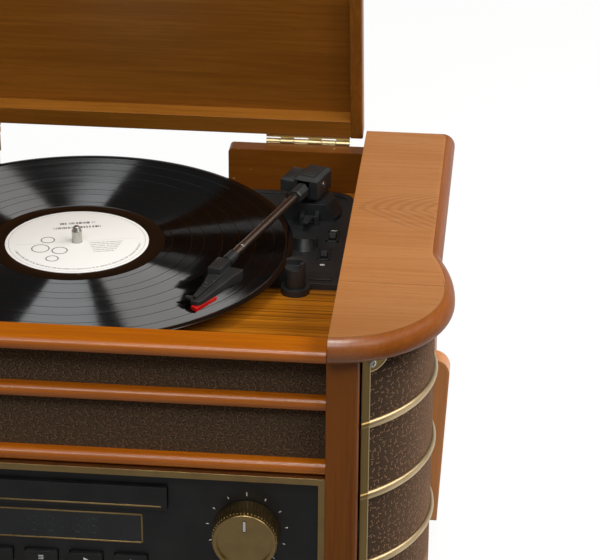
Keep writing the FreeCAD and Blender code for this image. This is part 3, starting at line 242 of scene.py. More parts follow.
def shoulder_arches(f, xyz, wander, tone, deep):
    """Nested arches of a flat-sawn leaf, pointing inwards across the shoulder; one dark line and the seam of
    the nose ahead of them, and painted shade that darkens the front."""
    x, y, _ = xyz
    offset = y - ARCH_MIDDLE + wander * 6.0
    behind = f.rise(offset, -3.0, 4.0)
    reach = abs(offset)
    bow = reach * (1.35 - behind * 1.15) + reach * reach * behind * 0.036
    climb = abs(x) - bow + wander * 12.0
    wave = (climb * (2 * math.pi / ARCH_PITCH)).sine()
    near = f.rise(reach, 36.0, 24.0) * f.rise(climb, 172.0, 180.0)
    tone = f.mix(f.rise(wave, -0.6, 1.0) * near * 0.3, tone, deep)
    line = f.rise(abs(y - DARK_LINE + wander * 8.0), 0.9, 0.2)
    tone = f.mix(line * 0.45, tone, deep)
    side = abs(x) - NOSE[0]
    ahead = y - NOSE[1]
    radius = (side * side + ahead * ahead) ** 0.5
    seam = f.rise(abs(radius - NOSE_SEAM), 0.7, 0.2) * f.rise(ahead, 25.0, 5.0)
    tone = f.mix(seam * 0.7, tone, deep)
    # painted shade: the veneer darkens towards the front, where less light falls
    return f.mix(f.rise(y, -60.0, -170.0) * 0.34, tone, deep)


def plate_dark_patch(f, xyz, wander, tone, deep):
    """Black patch painted on the deck under the arm's plate, which shows through the slots of its switches.
    """
    across, along = (f.rise(abs(place - middle), half, half - 1.0)
                     for place, middle, half in zip(xyz, DARK_PATCH_MIDDLE, DARK_PATCH_HALF))
    return f.mix(across * along, tone, srgb(20, 20, 20))


def board(name, tone, speck):
    """Plain stained fibreboard with short chips in it."""
    made, f = new_finish(name)
    x, y, z = f.places()
    chips = f.noise(f.point(x * 0.7, y * 0.7, z * 0.7), 4.0, 0.7)
    cloud = f.noise(f.point(x * 0.03, y * 0.03, z * 0.03), 2.0)
    share = f.rise(chips + (cloud - 0.5) * 0.4, 0.35, 0.7)
    f.close(Base_Color=f.mix(share, tone, speck), Roughness=0.62 + chips * 0.2,
            Normal=f.bump(chips, 0.08, f.edge(0.5)))
    return made


def metal(name, tone, roughness=0.3, brush=None, ease=0.35):
    """Satin metal with fine brushing along an axis, or a fine blasted face."""
    made, f = new_finish(name)
    xyz = f.places()
    if brush:
        length, across, depth = (xyz[axis] for axis in GRAIN_ORDER[brush])
        lines = f.noise(f.point(length * 0.06, across * 7.0, depth * 7.0), 2.0)
    else:
        lines = f.noise(f.point(xyz[0] * 9.0, xyz[1] * 9.0, xyz[2] * 9.0), 2.0)
    cloud = f.noise(f.point(xyz[0] * 0.09, xyz[1] * 0.09, xyz[2] * 0.09), 3.0)
    f.close(Base_Color=f.mix(f.rise(cloud, 0.4, 0.75) * 0.5, tone, deepen(tone, 0.72)), Metallic=1.0,
            Roughness=roughness + (lines - 0.5) * 0.2 + (cloud - 0.5) * 0.12,
            Normal=f.bump(lines, 0.012, f.edge(ease)))
    return made


def frame_paint(name, strip, ring):
    """Metallic paint of the speaker frames, darker on the strips and ears as painted shade and paler on the
    rings as painted light.
    """
    made, f = new_finish(name)
    x, y, z = f.places()
    flakes = f.noise(f.point(x * 6.0, y * 6.0, z * 6.0), 2.0)
    cloud = f.noise(f.point(x * 0.06, y * 0.06, z * 0.06), 2.0)
    near = 0.0
    for height in RINGS:
        near = f.rise(abs(z - height), 3.3, 2.7) + near
    # painted light on the rings and painted shade on the strips and ears: one paint in a pale and a dark tone
    pale = near * f.rise(abs(x), STRIP_EDGE - 0.2, STRIP_EDGE + 0.2)
    tone = f.mix(pale, strip, ring)
    f.close(Base_Color=f.mix(f.rise(cloud, 0.4, 0.75) * 0.3, tone, strip), Metallic=1.0,
            Roughness=0.36 + (flakes - 0.5) * 0.16 + (cloud - 0.5) * 0.1,
            Normal=f.bump(flakes, 0.012, f.edge(0.6)))
    return made


def plastic(name, tone, roughness=0.45, grain=2.4, depth=0.03, coat=0.0):
    """Moulded plastic with a fine spark-eroded grain and handled, slightly polished high spots."""
    made, f = new_finish(name)
    x, y, z = f.places()
    sparks = f.noise(f.point(x * grain, y * grain, z * grain), 3.0, 0.6)
    cloud = f.noise(f.point(x * 0.05, y * 0.05, z * 0.05), 2.0)
    pale = (*(min(1.0, 1.35 * part + 0.004) for part in tone[:3]), 1.0)
    share = f.rise(cloud + (sparks - 0.5) * 0.5, 0.35, 0.75)
    f.close(Base_Color=f.mix(share, tone, pale),
            Roughness=roughness + (cloud - 0.5) * 0.16 + (sparks - 0.5) * 0.1,
            Normal=f.bump(sparks, depth, f.edge(0.4)), Coat_Weight=coat, Coat_Roughness=0.08)
    return made


FIGURE_PITCH = 5.0
CLOTH_DARK, CLOTH_TAN = srgb(18, 13, 8), srgb(146, 114, 88)
# one cloth: its pale tone is painted darker on the drums as painted shade and lighter on the front as painted
# light
CLOTH_PALE_LIT_AND_SHADED = {True: srgb(72, 58, 43), False: srgb(112, 91, 68)}


def grille_cloth(name, drum):
    """Dark mottled weave with small tan figures like commas, scattered at every slant."""
    made, f = new_finish(name)
    x, y, z = f.places()
    if drum:
        side = abs(x) - DRUM[0]
        across = side.maths("ARCTAN2", (y - DRUM[1]) * -1.0) * DRUM_RADIUS
    else:
        across = x
    flat = f.point(across, z, 0.0)
    cell = {"Vector": f.point(across / FIGURE_PITCH, z / FIGURE_PITCH, 0.0), "Scale": 1.0, "Randomness": 0.8}
    centre = f.node("ShaderNodeTexVoronoi", None, cell, "Position")
    chance = f.node("ShaderNodeTexVoronoi", None, cell, "Color")
    seat = f.node("ShaderNodeVectorMath", {"operation": "SCALE"}, {0: centre, "Scale": FIGURE_PITCH})
    local = f.node("ShaderNodeVectorMath", {"operation": "SUBTRACT"}, {0: flat, 1: seat})
    u, v = (f.node("ShaderNodeSeparateXYZ", None, {0: local}, axis) for axis in range(2))
    slant = f.node("ShaderNodeSeparateColor", None, {0: chance}, 0) * 2.6 + 0.3
    sine, cosine = slant.sine(), slant.maths("COSINE")
    run = u * cosine + v * sine
    lift = v * cosine - u * sine
    bend = f.rise(f.node("ShaderNodeSeparateColor", None, {0: chance}, 1), 0.45, 0.55) * 2.0 - 1.0
    curl = lift - (run * 2.3).sine() * bend * 0.7
    length = f.rise(abs(run), 1.6, 0.9)
    comma = f.rise(abs(curl), 0.62, 0.18) * length
    shadow = f.rise(abs(curl + 0.75), 0.7, 0.2) * length
    threads = (across * 8.0).sine() * (z * 8.0).sine()
    fuzz = f.noise(f.point(across * 2.2, z * 2.2, 0.0), 2.0) - 0.5
    mottle = f.noise(f.point(across * 0.85, z * 0.85, 11.0), 2.0, 0.7) - 0.5
    weave = threads * 0.3 + fuzz * (3.0 if drum else 6.0) + mottle * 5.0 - shadow * 0.9
    # painted shade on the drum cloth and painted light on the front cloth, through the pale tone
    ground = f.mix(f.rise(weave, -1.4, 1.6), CLOTH_DARK, CLOTH_PALE_LIT_AND_SHADED[drum])
    tone = f.mix(comma * ((0.9 if drum else 0.5) + fuzz * 1.2), ground, CLOTH_TAN)
    normal = f.bump(threads * 0.25 + comma * 0.9 + fuzz * 0.6, 0.2)
    f.close(Base_Color=tone, Roughness=0.86, Normal=normal, Specular_IOR_Level=0.12, Sheen_Weight=1.0,
            Sheen_Roughness=0.4, Sheen_Tint=srgb(240, 190, 155))
    return made


GROOVE, GROOVE_DEPTH = 0.5, 0.31
TRACK_GAPS = (66.0, 79.5, 88.0, 101.0, 112.5, 124.0, 137.0)


def from_spindle(f):
    """Places across and along from the spindle, and the distance from it."""
    x, y, _ = f.places()
    x, y = x - SPINDLE[0], y - SPINDLE[1]
    return x, y, (x * x + y * y) ** 0.5


def vinyl(name):
    """Black pressed record; the grooves are cut in its shape, and each band reads a little differently."""
    made, f = new_finish(name)
    x, y, radius = from_spindle(f)
    fine = f.noise(f.point(radius * 1.3, 0.0, 0.0), 3.0, 0.7) - 0.5
    slow = f.noise(f.point(radius * 0.16, 3.0, 0.0), 2.0) - 0.5
    dust = f.noise(f.point(x * 0.7, y * 0.7, 0.0), 2.0)
    tone = f.mix(f.rise(dust, 0.45, 0.8) * 0.35, srgb(9, 8, 8), srgb(20, 19, 18))
    f.close(Base_Color=tone, Roughness=0.13 + fine * 0.12 + slow * 0.2, Normal=f.bump(fine, 0.02), IOR=1.5)
    return made


LABEL_TURN = math.radians(-14)
RIM_LINE, RIM_PRINT, PRESSED_RING = 47.6, 44.0, 17.0
LABEL_SPOTS = ((-20.0, 5.0, 4.6), (-26.0, -8.0, 6.0), (-13.0, -13.0, 5.2), (-19.0, -25.0, 4.2))
LABEL_INK = srgb(46, 44, 43)


def label_paper(name):
    """White label with plain rings, rules and rows of broken lines."""
    made, f = new_finish(name)
    x, y, radius = from_spindle(f)
    arc = y.maths("ARCTAN2", x) * RIM_PRINT
    u = x * math.cos(LABEL_TURN) - y * math.sin(LABEL_TURN)
    v = x * math.sin(LABEL_TURN) + y * math.cos(LABEL_TURN)
    fibre = f.noise(f.point(x * 1.5, y * 1.5, 0.0), 4.0, 0.7)
    ink = f.rise(abs(radius - RIM_LINE), 0.3, 0.1) * 0.5
    gaps = f.rise(f.noise(f.point(arc * 0.75, 9.0, 0.0), 2.0, 0.8), 0.44, 0.52)
    ink = ink + f.rise(abs(radius - RIM_PRINT), 1.0, 0.6) * gaps * f.rise(v, -6.0, -12.0) * 0.6
    rule = f.rise(abs(v), 0.35, 0.1) * f.rise(abs(abs(u) - 25.0), 18.5, 18.0)
    ink = ink + rule * 0.35
    for row in range(6):
        middle, reach = 20.0 - 0.5 * row, 12.0 - 0.9 * row
        bar = f.rise(abs(v + 3.6 + 2.9 * row), 0.6, 0.3) * f.rise(abs(u - middle), reach, reach - 0.4)
        gaps = f.rise(f.noise(f.point(u * 0.8, row * 5.0, 2.0), 2.0, 0.8), 0.4, 0.48)
        ink = ink + bar * gaps * 0.6
    for row, reach in enumerate((13.0, 17.0)):
        bar = f.rise(abs(v - 30.0 + row * 7.0), 1.7, 1.3) * f.rise(abs(u - 2.0), reach, reach - 0.4)
        gaps = f.rise(f.noise(f.point(u * 0.55, row * 7.0, 5.0), 2.0, 0.8), 0.46, 0.52)
        ink = ink + bar * gaps * 0.9
    for right, up, size in LABEL_SPOTS:
        away = ((u - right) ** 2.0 + (v - up) ** 2.0) ** 0.5
        ink = ink + f.rise(abs(away - size), 0.55, 0.25) * 0.8
    press = f.rise(abs(radius - PRESSED_RING), 0.9, 0.2) * 0.8
    paper = f.mix(fibre, srgb(248, 246, 240), srgb(255, 254, 250))
    f.close(Base_Color=f.mix(f.rise(ink, 0.0, 1.0), paper, LABEL_INK), Roughness=0.5,
            Normal=f.bump(fibre * 0.3 - press, 0.08))
    return made


# Shapes, drawn in millimetres
def join(parts):
    """One mesh out of several."""
    whole = bmesh.new()
    for part in parts:
        data = bpy.data.meshes.new("part")
        part.to_mesh(data)
        part.free()
        whole.from_mesh(data)
        bpy.data.meshes.remove(data)
    return whole


def carry(mesh, *steps):
    """Move or turn a mesh by each step in turn."""
    for step in steps:
        bmesh.ops.transform(mesh, matrix=step, verts=mesh.verts)
    return mesh


def copies(mesh, places):
    """The same mesh at each place."""
    spread = join([carry(mesh.copy(), place) for place in places])
    mesh.free()
    return spread


def shift(x=0.0, y=0.0, z=0.0):
    return Matrix.Translation((x, y, z))


def spin_by(degrees, axis):
    return Matrix.Rotation(math.radians(degrees), 4, axis)


TO_FRONT = spin_by(90, "X")
TO_BACK = spin_by(-90, "X")


def arm_place():
    """Steps that carry a mesh to the arm; it is drawn with the arm pointing to the front from the origin."""
    return spin_by(ARM_TURN, "Z"), shift(*PIVOT, ARM_HEIGHT)


def lid_place():
    """Steps that swing a mesh, drawn on the closed lid, up with the open lid."""
    return shift(0, -HINGE[0], -HINGE[1]), spin_by(LID_OPEN, "X"), shift(0, *HINGE)


def piece(name, mesh, body, finish, replaces=(), smooth=35):
    """Finished object from a mesh in millimetres, riding on a body of the set."""
    bmesh.ops.scale(mesh, vec=(MM, MM, MM), verts=mesh.verts)
    mesh.normal_update()
    data = bpy.data.meshes.new(name)
    mesh.to_mesh(data)
    mesh.free()
    data.shade_smooth()
    data.set_sharp_from_angle(angle=math.radians(smooth))
    made = bpy.data.objects.new(name, data)
    scene.collection.objects.link(made)
    data.materials.append(finish)
    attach(made, body)
    if replaces:
        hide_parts(*replaces)
    return made


def block(low, high, ease):
    """Box between two corners, its edges eased."""
    low, high = Vector(low), Vector(high)
    mesh = bmesh.new()
    bmesh.ops.create_cube(mesh, size=1.0)
    bmesh.ops.scale(mesh, vec=high - low, verts=mesh.verts)
    bmesh.ops.translate(mesh, vec=(high + low) / 2, verts=mesh.verts)
    bmesh.ops.bevel(mesh, geom=mesh.edges[:], offset=ease, affect="EDGES", segments=2, profile=0.5,
                    material=-1)
    return mesh


def open_line(points):
    """Mesh of edges from point to point."""
    mesh = bmesh.new()
    corners = [mesh.verts.new(point) for point in points]
    for pair in zip(corners, corners[1:]):
        mesh.edges.new(pair)
    return mesh


def added_corners(result):
    """Vertices that an extrusion added."""
    return [part for part in result["geom"] if isinstance(part, bmesh.types.BMVert)]


def edges_among(mesh, corners):
    return [edge for edge in mesh.edges if all(vert in corners for vert in edge.verts)]


def turning(profile, steps):
    """Solid of revolution about Z from radius and height pairs."""
    mesh = open_line([(radius, 0, height) for radius, height in profile])
    bmesh.ops.spin(mesh, geom=mesh.verts[:] + mesh.edges[:], cent=(0, 0, 0), axis=(0, 0, 1),
                   angle=2 * math.pi, steps=steps, use_merge=True)
    bmesh.ops.remove_doubles(mesh, verts=mesh.verts, dist=1e-3)
    bmesh.ops.recalc_face_normals(mesh, faces=mesh.faces)
    return mesh


def washer(radius, inner, height):
    return turning([(inner, 0), (radius, 0), (radius, height), (inner, height), (inner, 0)], 32)


def plate(corners, low, high, ease):
    """Flat shape drawn on X and Y, raised from one level to another, its upper edges eased."""
    mesh = bmesh.new()
    face = mesh.faces.new([mesh.verts.new((x, y, low)) for x, y in corners])
    top = added_corners(bmesh.ops.extrude_face_region(mesh, geom=[face]))
    bmesh.ops.translate(mesh, vec=(0, 0, high - low), verts=top)
    bmesh.ops.recalc_face_normals(mesh, faces=mesh.faces)
    bmesh.ops.bevel(mesh, geom=edges_among(mesh, top), offset=ease, affect="EDGES", segments=2, profile=0.5,
                    material=-1)
    return mesh


def cross_head(radius, height):
    """Pan head with a cross recess, facing up Z from the origin."""
    arm, half = 0.62 * radius, 0.16 * radius
    crown_radius, floor = 0.72 * radius, 0.25 * height
    quarter = [(arm, half), (half, half), (half, arm)]
    turns = ((1, 0), (0, 1), (-1, 0), (0, -1))
    corners = [(x * cosine - y * sine, x * sine + y * cosine) for cosine, sine in turns for x, y in quarter]
    mesh = bmesh.new()
    inner = [mesh.verts.new((x, y, height)) for x, y in corners]
    slot = [mesh.edges.new(pair) for pair in zip(inner, inner[1:] + inner[:1])]
    ring = bmesh.ops.create_circle(mesh, segments=12, radius=crown_radius)["verts"]
    bmesh.ops.rotate(mesh, matrix=Matrix.Rotation(math.radians(15), 3, "Z"), verts=ring)
    bmesh.ops.translate(mesh, vec=(0, 0, height), verts=ring)
    rim = list({edge for vert in ring for edge in vert.link_edges})
    bmesh.ops.bridge_loops(mesh, edges=slot + rim)
    sunk = added_corners(bmesh.ops.extrude_edge_only(mesh, edges=slot))
    bmesh.ops.translate(mesh, vec=(0, 0, floor - height), verts=sunk)
    bmesh.ops.contextual_create(mesh, geom=edges_among(mesh, sunk))
    for share, drop in ((radius / crown_radius, 0.45 * height), (1.0, 0.55 * height)):
        side = bmesh.ops.extrude_edge_only(mesh, edges=rim)
        ring = added_corners(side)
        rim = [part for part in side["geom"] if isinstance(part, bmesh.types.BMEdge)
               and all(vert in ring for vert in part.verts)]
        bmesh.ops.scale(mesh, vec=(share, share, 1), verts=ring)
        bmesh.ops.translate(mesh, vec=(0, 0, -drop), verts=ring)
    bmesh.ops.contextual_create(mesh, geom=rim)
    bmesh.ops.recalc_face_normals(mesh, faces=mesh.faces)
    return mesh


# Record and cloths
def groove_run(start, end, top):
    """Zigzag of V-shaped grooves along the radius; the gaps between tracks stay flat."""
    points, radius = [], start
    while radius < end - GROOVE:
        points.append((radius, top))
        if all(abs(radius - gap) > GROOVE / 2 for gap in TRACK_GAPS):
            points.append((radius + GROOVE / 2, top - GROOVE_DEPTH))
        radius += GROOVE
    return points + [(end, top)]


def record_and_label():
    """Record with its grooves, its raised rim and middle and a plain underside; the label in its seat."""
    top, low, edge, hole = RECORD_TOP, RECORD_BOTTOM, RECORD_RADIUS, RECORD_HOLE
    seat, high, grooved = top - LABEL_SINK, top - 0.15, top - 0.28
    middle = [(hole, seat), (LABEL_RADIUS + 0.6, seat), (LABEL_RADIUS + 1.2, high), (60.2, high),
              (60.8, grooved)]
    rim = [(147.4, top), (149.6, top - 0.1), (edge - 0.25, top - 0.4), (edge, top - 0.8)]
    under = [(radius, low + top - height) for radius, height in reversed(middle + rim)]
    profile = middle + groove_run(GROOVES_START, GROOVES_END, grooved) + rim + under[1:] + [middle[0]]
    mesh = carry(turning(profile, 180), shift(*SPINDLE))
    piece("grooved_record", mesh, "turntable", vinyl("pressed_vinyl"), ["record"])
    sticker = [(hole, seat), (LABEL_RADIUS, seat), (LABEL_RADIUS, high - 0.05), (LABEL_RADIUS - 0.1, high),
               (hole + 0.1, high), (hole, seat)]
    mesh = carry(turning(sticker, 96), shift(*SPINDLE))
    piece("record_label", mesh, "turntable", label_paper("label_paper"))


def front_cloth():
    """Cloth stretched over the front board and wrapped round its edges."""
    low, high = (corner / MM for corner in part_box("front_cloth"))
    mesh = bmesh.new()
    bmesh.ops.create_grid(mesh, x_segments=1, y_segments=1, size=0.5)
    bmesh.ops.scale(mesh, vec=(high.x - low.x, high.z - low.z, 1), verts=mesh.verts)
    rim = added_corners(bmesh.ops.extrude_edge_only(mesh, edges=mesh.edges[:]))
    bmesh.ops.translate(mesh, vec=(0, 0, -FRONT_CLOTH_TURN_IN), verts=rim)
    folds = [edge for edge in mesh.edges if all(vert not in rim for vert in edge.verts)]
    bmesh.ops.bevel(mesh, geom=folds, offset=1.2, affect="EDGES", segments=3, profile=0.5, material=-1)
    carry(mesh, TO_FRONT, shift((low.x + high.x) / 2, low.y, (low.z + high.z) / 2))
    bmesh.ops.recalc_face_normals(mesh, faces=mesh.faces)
    weave = grille_cloth("front_cloth_weave_lit", False)
    made = piece("front_grille_cloth", mesh, "cabinet", weave, ["front_cloth"])
    made.modifiers.new("cloth thickness", "SOLIDIFY").thickness = 0.7 * MM


def drum_cloths():
    """Cloth stretched round each side speaker, from the front strip to the strip at the fin."""
    start = math.asin((DRUM_CLOTH_FRONT - DRUM[0]) / DRUM_RADIUS)
    sweep = math.pi / 2 + math.asin((DRUM_CLOTH_BACK - DRUM[1]) / DRUM_RADIUS) - start
    weave = grille_cloth("drum_cloth_weave_shaded", True)
    rows = 14
    step = (SHOULDER_BOTTOM - BASE_TOP) / rows
    x, y = DRUM[0] + DRUM_RADIUS * math.sin(start), DRUM[1] - DRUM_RADIUS * math.cos(start)
    for name, side in (("right_drum_cloth", 1), ("left_drum_cloth", -1)):
        mesh = open_line([(x, y, BASE_TOP + step * row) for row in range(rows + 1)])
        bmesh.ops.spin(mesh, geom=mesh.verts[:] + mesh.edges[:], cent=(*DRUM, 0), axis=(0, 0, 1),
                       angle=sweep, steps=48)
        if side < 0:
            bmesh.ops.scale(mesh, vec=(-1, 1, 1), verts=mesh.verts)
        bmesh.ops.recalc_face_normals(mesh, faces=mesh.faces)
        mesh.normal_update()
        if mesh.faces[:][0].normal.x * side < 0:
            bmesh.ops.reverse_faces(mesh, faces=mesh.faces)
        made = piece(name, mesh, "cabinet", weave, ["speaker_cloths"])
        made.modifiers.new("cloth thickness", "SOLIDIFY").thickness = 0.8 * MM


# Small fittings
def swept(corners, centre, axis, degrees, steps):
    """Closed bar: the four-cornered face carried round a centre."""
    mesh = bmesh.new()
    face = mesh.faces.new([mesh.verts.new(corner) for corner in corners])
    bmesh.ops.spin(mesh, geom=[*face.verts, *face.edges, face], cent=centre, axis=axis,
                   angle=math.radians(degrees), steps=steps)
    bmesh.ops.holes_fill(mesh, edges=mesh.edges, sides=4)
    bmesh.ops.recalc_face_normals(mesh, faces=mesh.faces)
    return mesh


def frame_beads(bright):
    """Turned-over edge of each speaker frame along its strips, rings and corner ears, in a paler metal than
    the frame paint as a painted highlight.
    """
    first = math.degrees(math.asin((STRIP_EDGE - DRUM[0]) / FRAME_RADIUS))
    last = 90 + math.degrees(math.asin((REAR_STRIP - DRUM[1]) / FRAME_RADIUS))
    inner, outer = FRAME_RADIUS - 1.8, FRAME_RADIUS + 0.2
    ring_reach = outer - 0.9
    parts = []
    for angle in (first, last):
        bar = block((-0.4, -outer, BASE_TOP + 0.1), (0.4, -inner, SHOULDER_BOTTOM - 0.1), 0.15)
        parts.append(carry(bar, spin_by(angle, "Z")))
    for height in RINGS:
        low, high = height - 3.5, height - 2.3
        corners = [(0, -inner, low), (0, -ring_reach, low), (0, -ring_reach, high), (0, -inner, high)]
        parts.append(carry(swept(corners, (0, 0, 0), (0, 0, 1), last - first, 40), spin_by(first, "Z")))
    side = STRIP_EDGE - DRUM[0]
    near, far = side + EAR_RADIUS - 0.35, side + EAR_RADIUS + 0.45
    for height, turn in ((SHOULDER_BOTTOM, 90), (BASE_TOP, -90)):
        corners = [(near, 0, height), (far, 0, height), (far, 2, height), (near, 2, height)]
        arc = swept(corners, (side, 0, height), (0, 1, 0), turn, 16)
        for vert in arc.verts:
            vert.co.y -= (outer ** 2 - vert.co.x ** 2) ** 0.5
        parts.append(arc)
    right = carry(join(parts), shift(*DRUM))
    left = carry(right.copy(), Matrix.Scale(-1, 4, (1, 0, 0)))
    bmesh.ops.reverse_faces(left, faces=left.faces)
    piece("speaker_beads", join([right, left]), "cabinet", bright)


def screw_heads(steel, gold):
    """Cross-head screws of the back panel, the speaker frames and the hinge leaves."""
    seats = []
    for side in (-1, 1):
        seats += [shift(side * x, BACK_FACE, z) @ TO_BACK for x in (213.0, 146.5) for z in (31.0, 171.0)]
        on_ear = spin_by(side * 38.0, "Z") @ shift(0, -FRAME_RADIUS) @ TO_FRONT
        seats += [shift(side * DRUM[0], DRUM[1], z) @ on_ear for z in (27.5, 211.5)]
    piece("panel_screws", copies(cross_head(2.6, 0.9), seats), "cabinet", steel, ["screws"])
    leaf_face, leaf_middle = 163.7, 210.5
    seats = [shift(side * x, leaf_face, leaf_middle) @ TO_BACK
             for side in (-1, 1) for x in (110.0, 131.0, 152.0)]
    piece("hinge_screws", copies(cross_head(2.2, 0.6), seats), "cabinet", gold)


def arm_fittings(black, steel):
    """Collar, bearing cap and pivot screw of the tonearm."""
    sleeve = turning([(0, 13.8), (5.2, 13.8), (5.6, 14.3), (5.6, 27.6), (5.0, 28.4), (0, 28.4)], 8)
    carry(sleeve, spin_by(22.5, "Z"), TO_FRONT, *arm_place())
    piece("arm_collar", sleeve, "arm", black, smooth=20)
    cap = block((-3.6, -8.6, 8.9), (7.4, 10.2, 9.35), 0.2)
    pitch = 2.6
    ribs = [block((-3.6 + pitch * rank, -8.2, 9.2), (-3.2 + pitch * rank, 9.8, 9.5), 0.1)
            for rank in range(1, 4)]
    lip = block((-17.0, -8.6, 5.3), (-8.6, 9.6, 5.75), 0.2)
    piece("bearing_cap", carry(join([cap, lip, *ribs]), *arm_place()), "arm_yoke", black)
    screw = carry(cross_head(2.6, 0.8), spin_by(90, "Y"), shift(10.7, 0.5), *arm_place())
    piece("pivot_screw", screw, "arm_yoke", steel)
    ring = turning([(2.9, 0), (3.5, 0.15), (3.5, 0.85), (2.9, 1.0), (2.9, 0)], 32)
    piece("tube_ring", carry(ring, TO_FRONT, shift(0, -119.5), *arm_place()), "arm", steel)


def plate_fittings(black, white):
    """Rest pad, frames round the two slide switches and small printed marks on the tonearm plate."""
    low, high = PLATE_TOP - 0.2, PLATE_TOP + 0.7
    parts = [block((148.0, -5.4, low), (163.2, -1.6, PLATE_TOP + 1.5), 0.3)]
    half, reach, bar = 4.6, 8.4, 1.5
    for x, y in SWITCHES:
        for side in (-1, 1):
            edge, end = side * (half - bar / 2), side * (reach - bar / 2)
            parts += [block((x + edge - bar / 2, y - reach, low), (x + edge + bar / 2, y + reach, high), 0.2),
                      block((x - half, y + end - bar / 2, low), (x + half, y + end + bar / 2, high), 0.2)]
    piece("plate_mouldings", join(parts), "cabinet", black)
    low, high = PLATE_TOP - 0.1, PLATE_TOP + 0.12
    marks = [block((153.0, 19.4, low), (156.4, 21.6, high), 0.05),
             block((156.0, 76.2, low), (160.4, 76.9, high), 0.05)]
    piece("plate_marks", join(marks), "cabinet", white)


SHELL_BACK, SHELL_FALL = -146.0, 0.088
SHELL_PLAN = [(-6.4, SHELL_BACK), (-5.6, -163.0), (-2.8, -193.6), (-1.2, -195.4), (2.6, -195.0),
              (4.6, -192.6), (9.2, -168.5), (11.0, -157.0), (13.6, -150.0), (13.6, SHELL_BACK)]


def fallen(mesh, above):
    """Lower the upper corners the more, the nearer they are to the tip of the shell."""
    for vert in mesh.verts:
        if vert.co.z > above:
            vert.co.z += SHELL_FALL * (vert.co.y - SHELL_BACK)
    return mesh


def headshell_fittings(black):
    """Socket, bevelled neck and a shell set askew that narrows and drops; cartridge and two screws."""
    socket = carry(turning([(0, 131.0), (3.5, 131.0), (4.0, 131.6), (4.0, 143.4), (0, 143.4)], 40), TO_FRONT)
    neck = block((-6.0, -161.0, -7.0), (3.6, -143.0, 3.0), 1.0)
    shell = fallen(plate(SHELL_PLAN, -9.0, -1.5, 0.7), -4.0)
    crown = [(-5.0, -158.0), (-1.8, -192.4), (0.6, -193.2), (4.2, -158.0)]
    ridge = fallen(plate(crown, -3.4, -0.6, 0.35), -2.4)
    lift = plate([(0.0, -192.0), (-1.0, -185.0), (-9.0, -186.0), (-9.5, -188.6)], -8.8, -7.2, 0.4)
    parts = join([socket, neck, shell, ridge, lift])
    piece("askew_headshell", carry(parts, *arm_place()), "arm", black, ["headshell"])
    body = [block((-3.8, -173.8, -11.0), (3.0, -163.0, -8.8), 0.4),
            block((-2.4, -163.4, -10.4), (1.6, -157.0, -8.9), 0.3)]
    piece("cartridge", carry(join(body), *arm_place()), "arm", black)
    heads = copies(cross_head(1.3, 0.6), [shift(-1.9, -172.0, -3.1), shift(1.9, -168.0, -2.7)])
    piece("shell_screws", carry(heads, *arm_place()), "arm", black)


def knob_fittings(champagne, white):
    """Ribbed grip, pointer and printed ticks of the two big knobs."""
    face = KNOB_BACK - KNOB_DEPTH + KNOB_DISH
    tick_start, tick_turn = 25.2, 2 * KNOB_SWEEP / (KNOB_TICKS - 1)
    for body, x in KNOBS.items():
        rib = block((-0.55, 20.3, 3.0), (0.55, 22.3, 14.6), 0.25)
        bmesh.ops.translate(rib, vec=(0, -0.8, 0), verts=[vert for vert in rib.verts if vert.co.z > 9.0])
        grip = copies(rib, [spin_by(360 / KNOB_RIBS * rank, "Z") for rank in range(KNOB_RIBS)])
        carry(grip, TO_FRONT, shift(x, KNOB_BACK, KNOB_HEIGHT))
        piece(f"{body}_grip", grip, body, champagne)
        low, high = KNOB_HEIGHT + 7.6, KNOB_HEIGHT + 15.0
        hand = block((x - 0.8, face - 0.15, low), (x + 0.8, face + 0.6, high), 0.1)
        piece(f"{body}_pointer", hand, body, white)
        ticks = []
        for rank in range(KNOB_TICKS):
            size = 2.8 if rank % 5 == 0 else 1.8
            tick = block((-0.35, tick_start, -0.1), (0.35, tick_start + size, 0.14), 0.04)
            turn = spin_by(KNOB_SWEEP - tick_turn * rank, "Z")
            ticks.append(carry(tick, turn, TO_FRONT, shift(x, FASCIA_FACE, KNOB_HEIGHT)))
        piece(f"{body}_scale", join(ticks), "cabinet", white)


def button_signs(white):
    """Plain raised signs: ring and bar, three lines, arrow, arrow over a bar."""
    low, high = -0.1, 0.15
    arrow = [(-1.5, -1.7), (1.7, 0.0), (-1.5, 1.7)]
    signs = {
        "power": [washer(1.9, 1.45, high), block((-0.25, 0.4, low), (0.25, 2.4, 0.2), 0.05)],
        "source": [block((-1.7, up - 0.25, low), (1.7, up + 0.25, high), 0.05) for up in (-1.25, 0.0, 1.25)],
        "play": [plate(arrow, low, high, 0.05)],
        "open": [carry(plate(arrow, low, high, 0.05), spin_by(90, "Z"), shift(0, 0.5)),
                 block((-1.7, -1.9, low), (1.7, -1.35, high), 0.05)],
    }
    for body, parts in signs.items():
        sign = carry(join(parts), TO_FRONT, shift(BUTTONS[body], CONTROL_FACE, BUTTON_HEIGHT))
        piece(f"{body}_sign", sign, body, white)


def display_figures(grey):
    """Unlit segments of four figures and a colon on the smoked window."""
    low, high = -0.05, 0.06
    across, upright = (2.3, 0.4), (0.4, 2.3)
    cells = [(across, 0, up) for up in (5.4, 0, -5.4)]
    cells += [(upright, right, up) for right in (-2.9, 2.9) for up in (2.7, -2.7)]
    bars = []
    for figure in (-20.0, -9.0, 9.0, 20.0):
        for (wide, tall), right, up in cells:
            x = figure + right
            bars.append(block((x - wide, up - tall, low), (x + wide, up + tall, high), 0.03))
    bars += [block((-0.6, up - 0.6, low), (0.6, up + 0.6, high), 0.03) for up in (2.6, -2.6)]
    figures = carry(join(bars), TO_FRONT, shift(0, FASCIA_FACE, DISPLAY_HEIGHT))
    piece("display_figures", figures, "cabinet", grey)


